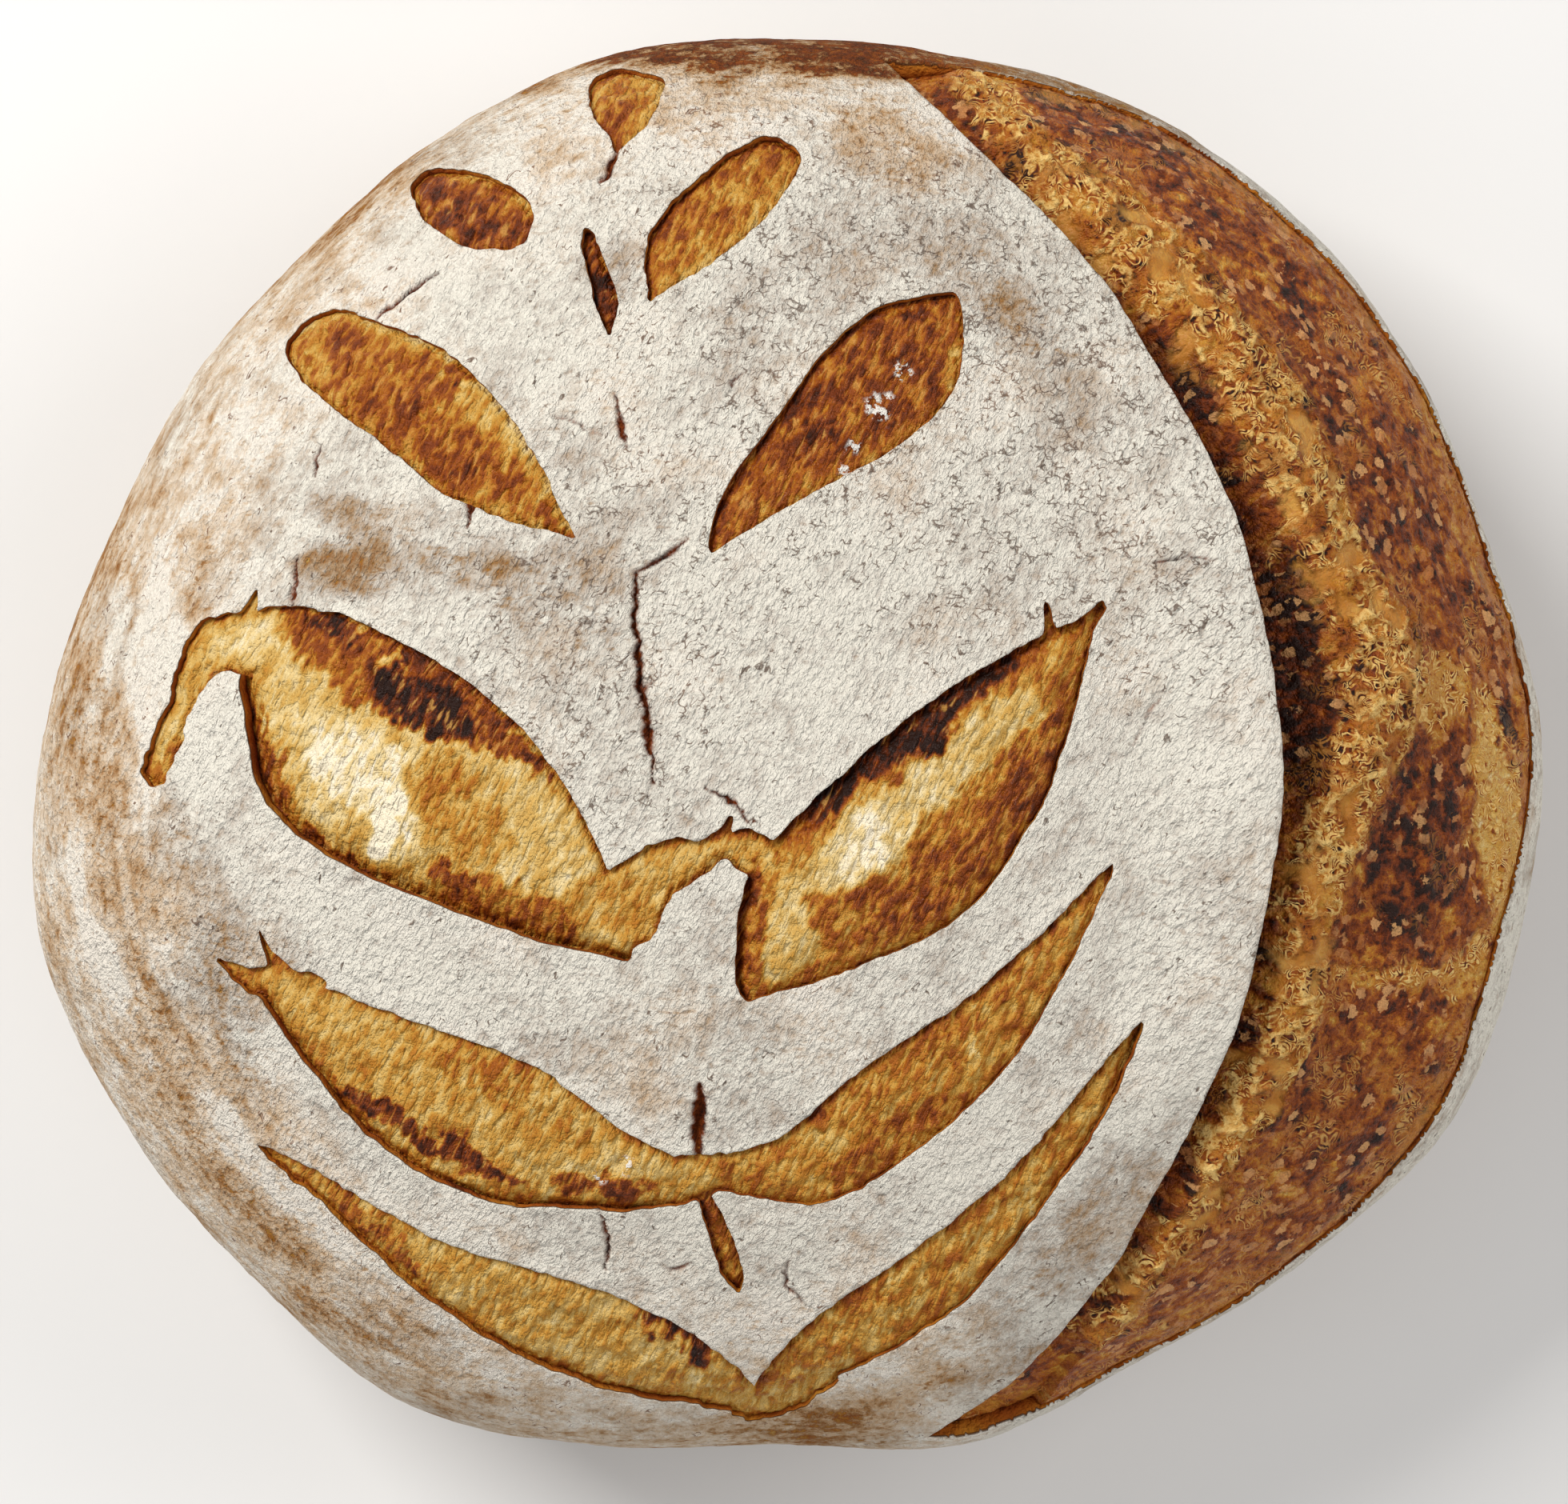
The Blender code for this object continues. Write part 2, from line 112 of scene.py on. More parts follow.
# Torn places that join or leave the leaves, as strokes of changing half width, with the same floor numbers.
TEARS = (
    (((-92.8, -4.4, 1.9), (-90.9, 1.0, 2.0), (-89.2, 5.2, 1.8), (-87.0, 10.5, 2.6), (-83.5, 14.2, 4.2), (-78.5, 14.8, 4.8), (-72, 15.5, 4.6)),
     (0.5, 0.3, 0.3, 0.8, 0.8, 0.2, 0.22, 0.30, 0.30)),
    (((-80.0, 17.0, 1.6), (-78.8, 19.6, 1.1), (-77.8, 22.4, 0.3)), (0.4, 0.2, 0.2, 0.6, 0.6, 0.0, 0.34, 0.2, 0.2)),
    (((-30, -24, 6.0), (-24.5, -24.2, 6.4), (-19.5, -19.2, 4.1), (-15.5, -17.4, 3.5), (-12.6, -16.8, 2.4), (-9.6, -15.4, 2.1), (-6.4, -15.8, 3.0), (-3.0, -17.5, 3.2)),
     (0.5, 0.4, 0.2, 0.8, 0.8, 0.3, 0.32, 0.30, 0.14)),
    (((-10.2, -14.2, 1.4), (-8.8, -12.8, 1.0), (-8.2, -11.2, 0.3)), (0.5, 0.2, 0.2, 0.8, 0.8, 0.0, 0.55, 0.2, 0.2)),
    (((-24, -63.5, 3.6), (-17, -64.6, 3.5), (-12.5, -64.0, 3.2), (-8, -62.8, 2.5), (-3, -63.2, 3.2), (2.5, -62.3, 3.0)),
     (0.4, 0.3, 0.3, 0.8, 0.8, 0.2, 0.30, 0.22, 0.30)),
    (((-70, -36.5, 2.6), (-75, -35.6, 2.2), (-79.5, -34.6, 1.5), (-83.5, -32.0, 0.4)), (0.4, 0.2, 0.2, 0.6, 0.6, 0.0, 0.34, 0.2, 0.3)),
    (((-74, -34, 1.3), (-76.0, -31.0, 0.9), (-77.5, -27.6, 0.2)), (0.4, 0.2, 0.2, 0.6, 0.6, 0.0, 0.40, 0.2, 0.2)),
    (((-66, -67.0, 1.7), (-71, -63.5, 1.5), (-75.0, -60.8, 0.9), (-77.5, -59.2, 0.2)), (0.4, 0.2, 0.2, 0.6, 0.6, 0.0, 0.38, 0.2, 0.3)),
    (((-15, -94.5, 2.2), (-8.0, -96.6, 2.2), (-4.6, -97.8, 1.9), (0.0, -96.6, 2.0), (6.0, -93.0, 1.8)), (0.4, 0.2, 0.2, 0.7, 0.7, 0.0, 0.30, 0.2, 0.2)),
    (((38.4, 13.5, 1.6), (38.9, 16.0, 0.9), (38.3, 20.4, 0.2)), (0.6, 0.2, 0.2, 0.6, 0.6, 0.0, 0.62, 0.2, 0.2)),
    (((42.0, 15.0, 1.8), (44.2, 17.6, 1.0), (46.4, 20.6, 0.2)), (0.6, 0.2, 0.2, 0.6, 0.6, 0.0, 0.45, 0.2, 0.2)),
)
# Cracks in the skin: start, bend, end, half width, depth.
CRACKS = (
    ((-22.5, 25), (-22, 10), (-19.5, -6), 0.55, 1.6),
    ((-14.7, 30), (-18, 27), (-22.5, 25), 0.40, 0.8),
    ((-25.3, 51.5), (-24.4, 47), (-23.7, 43.6), 0.38, 0.9),
    ((-34.8, 48.3), (-31, 47.6), (-27.4, 45.5), 0.22, 0.4),
    ((-12.6, -50.5), (-13, -56), (-12.6, -61), 0.75, 1.6),
    ((-24.8, 87.2), (-25.5, 85), (-27.1, 83), 0.50, 1.0),
    ((-60.3, 61.9), (-57, 66), (-51.3, 69.3), 0.35, 0.7),
    ((-68.7, 44), (-69.5, 42), (-69.3, 39.3), 0.30, 0.6),
    ((-72.3, 27.0), (-72.6, 24), (-72.1, 20.6), 0.40, 0.8),
    ((51.6, 25.8), (56, 26.6), (59.5, 25.0), 0.26, 0.5),
    ((51.0, -0.5), (52.5, 4.5), (55.6, 7.3), 0.24, 0.4),
    ((-28.0, -68.7), (-26.0, -73), (-26.4, -77.8), 0.40, 0.8),
    ((-18.2, -77.8), (-16, -78), (-14.0, -76.6), 0.28, 0.5),
    ((0.1, -76.6), (-0.6, -80), (3.1, -82.7), 0.30, 0.5),
    ((-47.0, 36.5), (-46.0, 34), (-47.0, 31.5), 0.40, 0.8),
    ((-6.4, 54.4), (-8.5, 53.5), (-9.3, 50.9), 0.28, 0.5),
    ((-12.0, -6.5), (-7.0, -9.0), (-4.5, -12.5), 0.35, 0.7),
)

EAR_EDGE = (15.3, 31.2, 45.3, 54.8, 62.2, 66.9, 70.3, 71.8, 70.3, 67.4, 62.2, 55.1, 46.3, 32.3, 7.5)
EAR_FROM, EAR_STEP = 100.0, -15.0
EAR_OVERHANG = 4.0
EAR_LIFT = 3.2
EAR_REACH = 62.0
GROOVE_DEEP = 8.0
RIDGE_AT = 13.0
BURST_FOOT = (54.0, 50.0, 52.0, 57.0, 52.0, 50.0, 51.0, 52.0, 55.0)

# The golden ridge that tore up out of the burst, from its upper to its lower end, and half its width.
RIDGE = (
    (26, 98, 1.6), (37, 87.5, 3.4), (52, 74, 5.2), (66, 58, 5.6), (74.5, 44, 5.2), (80, 28, 5.6), (88, 14, 6.6), (87, 2, 6.0),
    (82, -10, 5.0), (77.5, -22, 4.8), (74.5, -36, 4.8), (71, -49, 4.2), (63, -63, 3.2), (57, -74, 2.4), (46, -88, 1.8),
)
EAR_THICK = 1.7      # thickness of the ear's free edge
SKIN = 2.3           # thickness of the floured skin
HIDDEN = 3.1         # how far the crumb lies below the skin's face where the skin covers it
MAP_STEP = 0.40      # grid on which the openings' edges are found
FINEST = 0.36        # closest spacing of the skin's points
FINEST_CRUMB = 0.46  # and of the crumb's
FIBRE_TURN = -0.46   # the torn crumb's fibres run across this direction, radians
LEAN = 1.08          # and the floured skin's small strokes along this one

# Where the bake is browner or paler than its surroundings, as seen from above, and two small painted highlights:
# middle, half length, half width, turn in degrees, bake level there (0 is cream, 1 is charred), and how fully it takes
# over.
BAKED_AND_HIGHLIGHTS = (
    # the big left opening
    ((-76.7, 14.8), 7.0, 4.6, 5, 0.12, 1.0), ((-71.6, 7.0), 8.0, 4.0, -52, 0.17, 1.0),
    ((-65.6, 12.6), 10.5, 4.6, -32, 0.58, 1.0), ((-50.5, 10.4), 12.0, 2.2, -36, 0.72, 1.0), ((-52.6, 4.9), 9.6, 4.2, -33, 0.93, 1.0),
    ((-40.5, 0.0), 9.0, 2.0, -46, 0.74, 1.0), ((-62.0, -4.6), 10.0, 5.6, -35, 0.03, 1.0),
    ((-47.5, -10.0), 10.0, 6.0, -45, 0.36, 1.0), ((-35.4, -10.8), 9.5, 3.4, -50, 0.18, 1.0),
    # the pale spot at (-58.3, -12.6) is a painted highlight on this floor
    ((-58.3, -12.6), 4.6, 2.6, 65, -0.10, 1.0), ((-42.0, -23.2), 14.0, 3.6, -25, 0.46, 1.0),
    ((-48.6, -19.4), 4.4, 1.8, -10, 0.76, 1.0), ((-77.6, -1.5), 10.0, 2.6, -66, 0.64, 0.9),
    ((-67.0, -17.6), 9.0, 2.2, -38, 0.76, 0.9), ((-26.5, -23.0), 6.5, 5.0, 10, 0.34, 1.0),
    ((-83.2, 9.2), 1.7, 1.5, 0, 0.92, 1.0), ((-92.5, -3.0), 4.0, 3.0, 60, 0.34, 1.0),
    ((-66.5, 17.6), 9.0, 1.3, -22, 0.86, 0.9),
    # the big right opening
    ((17.0, -0.2), 22.0, 2.5, 37, 0.90, 1.0), ((12.2, -14.0), 10.5, 5.0, 40, 0.12, 1.0),
    # the pale spot at (13.4, -13.8) is a painted highlight on this floor
    ((13.4, -13.8), 4.6, 3.2, 66, 0.04, 1.0), ((23.1, -3.8), 10.0, 3.9, 40, 0.14, 1.0),
    ((31.4, 2.6), 8.0, 3.5, 36, 0.20, 1.0), ((25.0, -10.5), 9.0, 2.6, 40, 0.42, 0.9),
    ((37.0, -5.5), 14.0, 4.6, 66, 0.63, 1.0), ((20.0, -22.0), 16.0, 4.6, 32, 0.62, 1.0),
    ((9.0, -28.0), 6.0, 3.0, 20, 0.48, 0.9), ((-0.2, -30.0), 6.5, 4.0, 80, 0.20, 1.0),
    ((1.5, -21.0), 5.0, 2.6, 60, 0.22, 1.0), ((-4.6, -24.5), 8.5, 1.0, 84, 0.62, 0.8),
    ((40.5, 13.0), 5.0, 2.6, 40, 0.34, 0.8),
    # the smaller leaves
    ((-46.0, 79.5), 5.0, 2.6, -20, 0.66, 0.9), ((-60.0, 56.0), 4.0, 2.2, 20, 0.52, 0.7), ((-55.5, 48.0), 6.0, 2.6, -20, 0.62, 0.8),
    ((-45.0, 41.0), 8.0, 2.6, -32, 0.62, 0.8), ((-50.0, 55.2), 5.5, 1.5, -24, 0.82, 1.0), ((-43.0, 47.5), 8.0, 2.6, -36, 0.34, 0.8),
    ((-33.0, 33.0), 5.0, 3.0, -34, 0.68, 0.9), ((10.0, 46.0), 13.0, 3.4, 48, 0.68, 0.8), ((18.0, 60.0), 6.0, 4.0, 40, 0.64, 0.8),
    ((-2.5, 38.0), 8.0, 2.4, 52, 0.48, 0.7), ((-44.0, -49.5), 10.0, 2.6, -22, 0.50, 0.7), ((-62.0, -40.0), 9.0, 2.2, -28, 0.26, 0.8),
    ((-34.5, -47.5), 7.0, 1.8, -38, 0.20, 0.7), ((-38.5, -44.5), 6.0, 1.1, -36, 0.80, 0.9), ((-52.0, -58.0), 17.0, 1.7, -30, 0.80, 1.0),
    ((-27.0, -65.0), 9.0, 1.5, -10, 0.74, 0.9), ((5.5, -60.5), 8.0, 3.0, 30, 0.28, 0.7), ((14.0, -59.6), 12.0, 2.6, 36, 0.54, 0.9),
    ((27.0, -42.0), 10.0, 2.4, 52, 0.50, 0.7), ((-48.0, -69.5), 8.0, 2.4, -36, 0.46, 0.6), ((-16.0, -86.5), 8.0, 2.0, -35, 0.82, 1.0),
    ((-60.0, -73.0), 10.0, 1.8, -44, 0.64, 0.8), ((-33.0, -83.5), 12.0, 3.0, -24, 0.28, 0.6), ((10.0, -88.0), 9.0, 3.0, 42, 0.32, 0.6),
    # the burst
    ((97.5, 7.0), 7.0, 5.0, 70, 0.44, 1.0), ((93.5, -17.0), 15.0, 6.6, 86, 0.88, 1.0), ((92.5, -3.0), 6.0, 5.0, 10, 0.80, 0.8),
    ((105.6, -10.0), 19.0, 2.8, 92, 0.29, 1.0), ((101.0, -33.5), 7.0, 2.2, 62, 0.45, 0.9), ((90.4, -34.6), 11.0, 2.0, 2, 0.44, 0.9),
    ((31.0, 97.5), 8.0, 2.4, -35, 0.40, 0.9), ((47.0, 92.6), 15.0, 4.6, -27, 0.78, 0.9), ((88.0, 38.0), 14.0, 6.0, -64, 0.72, 0.6),
    ((84.5, -52.0), 14.0, 6.0, 58, 0.66, 0.7), ((60.0, -84.0), 16.0, 3.4, 44, 0.55, 0.8), ((40.8, -95.0), 17.0, 6.0, 30, 0.58, 0.9),
    ((48.6, 77.6), 2.6, 1.8, -40, 1.00, 1.0), ((34.3, 86.4), 2.0, 1.2, -40, 0.95, 1.0), ((107.5, 3.0), 2.2, 0.9, 90, 1.00, 1.0),
    ((61.0, 55.6), 3.4, 1.8, -50, 0.92, 1.0), ((69.0, 41.5), 4.5, 2.6, -60, 0.78, 0.9), ((76.0, 18.0), 11.0, 3.8, -82, 0.90, 1.0),
    ((77.5, -1.0), 9.0, 3.4, 88, 0.90, 1.0), ((69.0, -24.0), 10.0, 1.8, 80, 0.84, 0.9), ((57.5, -60.0), 16.0, 2.0, 60, 0.88, 1.0),
    ((68.0, 50.9), 3.4, 2.2, -50, 0.70, 1.0), ((86.0, 22.6), 3.4, 2.4, -70, 0.68, 1.0), ((72.0, 33.0), 5.0, 2.2, -70, 0.56, 0.8),
)
# Where the flour lies thinner (or, with a negative share, thicker): middle, half length, half width, turn, share.
THIN_FLOUR = (
    ((-4, 14), 17, 10, 0, -0.10), ((8, 27), 12, 8, 0, -0.08),
    ((-64, 25.5), 6, 4, 0, 0.55), ((-63, 33), 7, 3, -20, 0.35), ((-88, 24), 7, 3.4, 80, 0.45), ((-80, 34), 9, 3, 60, 0.20),
    ((28, 68), 9, 6, -55, 0.26), ((16, 88), 10, 5, -30, 0.30), ((34, 62), 8, 4, -40, 0.25), ((40, 52), 9, 4, -55, 0.15),
    ((16, -97), 20, 3, 14, 0.26), ((24, -90), 9, 5, 20, 0.16), ((0, -101), 16, 3, 0, 0.24), ((-78, -33), 8, 7, 60, 0.30),
    ((-101, 8), 24, 6, 86, 0.30), ((-92, -22), 18, 8, -72, 0.34), ((-84, -52), 20, 7, -58, 0.34), ((-62, -82), 20, 6, -40, 0.30),
    ((-104, 34), 16, 4, 66, 0.62), ((-70, 78), 26, 4.6, 40, 0.40), ((-36, 101), 14, 3.4, 22, 0.66), ((-6, 104.5), 24, 5.4, 0, 0.86),
    ((14, 101.0), 12, 3.0, -4, 0.62), ((-50, 30), 10, 4, -30, 0.14), ((10, 45), 14, 10, 40, 0.08), ((-14, 94), 10, 4, 10, 0.16),
    ((-35, 40), 18, 7, -40, 0.12), ((5, 70), 16, 7, 30, 0.10), ((-24, 70), 8, 4, -20, 0.22), ((-48, 26), 8, 3, 0, 0.18),
    ((56, 24), 7, 3, 0, 0.14), ((47, -70), 14, 6, 55, 0.20), ((10, -86), 10, 6, 0, 0.10), ((38, -76), 12, 4, 50, 0.16),
    ((-55, 69), 8, 3, -10, -0.2), ((-93, 14), 10, 3.4, 80, -0.60), ((-99, 17), 6.5, 1.4, 85, -0.55), ((-84, 4), 10, 3.4, 70, -0.30),
    ((-104, -18), 7, 1.6, 96, -0.45), ((-100, -33), 7, 1.8, -70, -0.45), ((-90, -36), 9, 2.0, -62, -0.35), ((-80, -60), 9, 2.2, -54, -0.40),
    ((-70, -70), 8, 1.8, -46, -0.35), ((-94, -6), 8, 2.0, 84, -0.28), ((-60, 88), 18, 1.2, 34, -0.40), ((-81, 70), 12, 1.2, 47, -0.35),
    ((-99, 44), 12, 1.6, 66, -0.40), ((50, -5), 14, 14, 0, -0.10), ((-20, -44), 18, 8, 0, 0.10), ((-33, 21), 12, 8, -20, 0.24), ((-62, -30), 18, 5, -30, -0.15),
)
# Flour that fell into an opening: middle and radius.
SPECKS = ((17.2, 54.6, 1.3), (13.6, 49.3, 1.9), (10.0, 43.6, 1.0), (8.8, 40.0, 0.9), (15.2, 50.6, 0.8), (4.8, 36.4, 0.7), (-23.5, -62.2, 1.2), (-27.2, -63.6, 0.8))


def smooth(x):
    x = np.clip(x, 0.0, 1.0)
    return x * x * (3.0 - 2.0 * x)


def through(knots, x):
    """A smooth curve through evenly spaced knots, read at x from 0 to 1."""
    k = np.asarray(knots, float)
    n = len(k) - 1
    k = np.concatenate([[2 * k[0] - k[1]], k, [2 * k[-1] - k[-2]]])
    s = np.clip(np.asarray(x, float) * n, 0.0, n - 1e-9)
    i = s.astype(int)
    f = s - i
    a, b, c, d = k[i], k[i + 1], k[i + 2], k[i + 3]
    return b + 0.5 * f * (c - a + f * (2 * a - 5 * b + 4 * c - d + f * (3 * (b - c) + d - a)))


def curve(points, count=40):
    """A smooth line through a few points; every column is carried along."""
    p, t = np.asarray(points, float), np.linspace(0.0, 1.0, count)
    return np.stack([through(p[:, k], t) for k in range(p.shape[1])], -1)


def outline(theta):
    k = np.array(RADII)
    s = (np.asarray(theta) / math.radians(15.0)) % 24.0
    i = s.astype(int) % 24
    f = s - np.floor(s)
    a, b, c, d = k[(i - 1) % 24], k[i], k[(i + 1) % 24], k[(i + 2) % 24]
    return b + 0.5 * f * (c - a + f * (2 * a - 5 * b + 4 * c - d + f * (3 * (b - c) + d - a)))


def meridian():
    t = np.linspace(0.0, math.pi / 2, 600)
    e, h = 2.0 / DOME_POWER, 2.0 / HEEL_POWER
    share = np.concatenate([np.sin(t) ** e, (BASE_SHARE + (1 - BASE_SHARE) * np.cos(t) ** h)[1:]])
    height = np.concatenate([GIRTH_AT + (HEIGHT - GIRTH_AT) * np.cos(t) ** e, (GIRTH_AT * (1 - np.sin(t) ** h))[1:]])
    step = np.hypot(np.diff(share * np.mean(RADII)), np.diff(height))
    return share, height, np.concatenate([[0.0], np.cumsum(step)])


SHARE, LEVEL, LENGTH = meridian()
GIRTH_LENGTH = LENGTH[599]
RIM_LENGTH = LENGTH[-1]
ring = np.linspace(-math.pi, math.pi, 2000)
girth = np.stack([outline(ring) * np.cos(ring), outline(ring) * np.sin(ring)], -1)
MIDDLE = (girth.max(0) + girth.min(0)) / 2


# ---- noise, the same in every run ----
def scramble(x, y, z, seed):
    h = (x.astype(np.int64) * 73856093) ^ (y.astype(np.int64) * 19349663) ^ (z.astype(np.int64) * 83492791) ^ (seed * 2654435761)
    h = (h ^ (h >> 13)) & 0xFFFFFFFF
    h = (h * 0x5BD1E995) & 0xFFFFFFFF
    h = (h ^ (h >> 15)) & 0xFFFFFFFF
    h = (h * 0x27D4EB2D) & 0xFFFFFFFF
    return (h ^ (h >> 13)) & 0xFFFFFFFF


def noise(p, size, seed=0):
    """Gradient noise of a point in millimetres, about -1 to 1, with blobs of the given size."""
    q = np.asarray(p, float) / size
    cell = np.floor(q).astype(np.int64)
    f = q - cell
    w = f * f * f * (f * (f * 6 - 15) + 10)
    total = np.zeros(len(q))
    for dx in (0, 1):
        for dy in (0, 1):
            for dz in (0, 1):
                h = scramble(cell[:, 0] + dx, cell[:, 1] + dy, cell[:, 2] + dz, seed)
                g = np.stack([(h & 1023) / 511.5 - 1, ((h >> 10) & 1023) / 511.5 - 1, ((h >> 20) & 1023) / 511.5 - 1], -1)
                d = f - np.array([dx, dy, dz])
                k = (w[:, 0] if dx else 1 - w[:, 0]) * (w[:, 1] if dy else 1 - w[:, 1]) * (w[:, 2] if dz else 1 - w[:, 2])
                total += k * (g * d).sum(1)
    return np.clip(total * 1.5, -1.2, 1.2)


def layered(p, size, seed=0, layers=3, fade=0.5):
    total, weight, k = 0.0, 0.0, 1.0
    for n in range(layers):
        total = total + k * noise(p, size / 2**n, seed + 17 * n)
        weight += k
        k *= fade
    return total / weight


def cells(x, y, size, seed=0):
    """Distance to the nearest and the second nearest seed of an uneven cell pattern, in cell sizes, and the cell's number."""
    qx, qy = np.asarray(x) / size, np.asarray(y) / size
    cx, cy = np.floor(qx).astype(np.int64), np.floor(qy).astype(np.int64)
    first = np.full(qx.shape, 9.0)
    second = np.full(qx.shape, 9.0)
    who = np.zeros(qx.shape, np.int64)
    for dx in (-1, 0, 1):
        for dy in (-1, 0, 1):
            h = scramble(cx + dx, cy + dy, cx * 0, seed)
            sx = cx + dx + 0.5 + ((h & 4095) / 4095.0 - 0.5) * 0.86
            sy = cy + dy + 0.5 + (((h >> 12) & 4095) / 4095.0 - 0.5) * 0.86
            d = np.hypot(qx - sx, qy - sy)
            nearer = d < first
            second = np.where(nearer, first, np.minimum(second, d))
            who = np.where(nearer, h, who)
            first = np.where(nearer, d, first)
    return first, second, who


def strand(p, size, seed, width=0.16):
    """1 along the thin curly lines where a noise crosses zero, 0 away from them."""
    return np.clip(1 - np.abs(noise(p, size, seed)) / width, 0.0, 1.0)


# ---- the loaf ----
def plain_loaf(theta, m):
    """A point of the loaf before it was scored, and which way its surface faces."""
    share = np.interp(m, LENGTH, SHARE)
    z = np.interp(m, LENGTH, LEVEL)
    even = np.mean(RADII)
    uneven = 1.0 - 0.45 * smooth((GIRTH_AT - z) / GIRTH_AT)
    r = share * (even + (outline(theta) - even) * uneven)
    x, y = r * np.cos(theta), r * np.sin(theta)
    up = smooth((z - GIRTH_AT) / (HEIGHT - GIRTH_AT))
    for rise, cx, width, cy in SWELL:
        z = z + rise * up * np.exp(-((x - cx) ** 2 + (y - cy) ** 2) / width**2)
    d = 0.5
    s1, s0 = np.interp(m + d, LENGTH, SHARE), np.interp(m - d, LENGTH, SHARE)
    z1, z0 = np.interp(m + d, LENGTH, LEVEL), np.interp(m - d, LENGTH, LEVEL)
    out, rise = z0 - z1, (s1 - s0) * even
    size = np.maximum(np.hypot(out, rise), 1e-9)
    out, rise = out / size, rise / size
    facing = np.stack([out * np.cos(theta), out * np.sin(theta), rise], -1)
    return np.stack([x, y, z], -1), facing


def seen(p):
    k = (EYE - TRUE_AT) / (EYE - p[:, 2])
    return p[:, 0] * k, p[:, 1] * k


def bend(a, c, b, count=16):
    t = np.linspace(0.0, 1.0, count)[:, None]
    a, b, c = (np.array(p, float) for p in (a, b, c))
    return (1 - t) ** 2 * a + 2 * t * (1 - t) * c + t * t * b


def leaf_edge(a, b, left, right, count=28):
    a, b = np.array(a, float), np.array(b, float)
    along = (b - a) / np.hypot(*(b - a))
    across = np.array([-along[1], along[0]])
    x = np.linspace(0.0, 1.0, count)
    t = (1 - np.cos(math.pi * x)) / 2
    sides = []
    for bow in (left, right):
        off = through((0.0, *bow, 0.0), x)
        sides.append(a + t[:, None] * (b - a) + off[:, None] * across)
    return np.concatenate([sides[0], sides[1][-2:0:-1]])


def from_line(u, v, line):
    best = np.full(u.shape, 1e9)
    along = np.zeros(u.shape)
    side = np.zeros(u.shape)
    count = len(line) - 1
    for k in range(count):
        (x0, y0), (x1, y1) = line[k], line[k + 1]
        dx, dy = x1 - x0, y1 - y0
        f = np.clip(((u - x0) * dx + (v - y0) * dy) / (dx * dx + dy * dy + 1e-12), 0.0, 1.0)
        d = np.hypot(u - x0 - f * dx, v - y0 - f * dy)
        near = d < best
        best = np.where(near, d, best)
        along = np.where(near, (k + f) / count, along)
        side = np.where(near, np.sign(dx * (v - y0) - dy * (u - x0)), side)
    return best, along, side


def in_edge(u, v, edge):
    closed = np.concatenate([edge, edge[:1]])
    d, _, _ = from_line(u, v, closed)
    inside = np.zeros(u.shape, bool)
    for (x0, y0), (x1, y1) in zip(closed[:-1], closed[1:]):
        if y0 != y1:
            inside ^= ((y0 > v) != (y1 > v)) & (u < x0 + (v - y0) * (x1 - x0) / (y1 - y0))
    return np.where(inside, d, -d)


def ear_line():
    y = np.linspace(0.0, 1.0, 60)
    x = through(EAR_EDGE, y)
    y = EAR_FROM + y * EAR_STEP * (len(EAR_EDGE) - 1)
    line = np.stack([x, y], -1)
    first, last = line[0] - line[1], line[-1] - line[-2]
    return np.concatenate([[line[0] + 12 * first], line, [line[-1] + 12 * last]])


def blob(u, v, middle, long, wide, turn, crisp=False):
    """1 in the middle of an ellipse, falling to 0 past its edge, softly or within a short way."""
    c, s = math.cos(math.radians(turn)), math.sin(math.radians(turn))
    x, y = u - middle[0], v - middle[1]
    a, b = (x * c + y * s) / long, (y * c - x * s) / wide
    return 1 - smooth((np.hypot(a, b) - 0.78) / 0.34) if crisp else 1 - smooth((np.hypot(a, b) - 0.55) / 0.75)


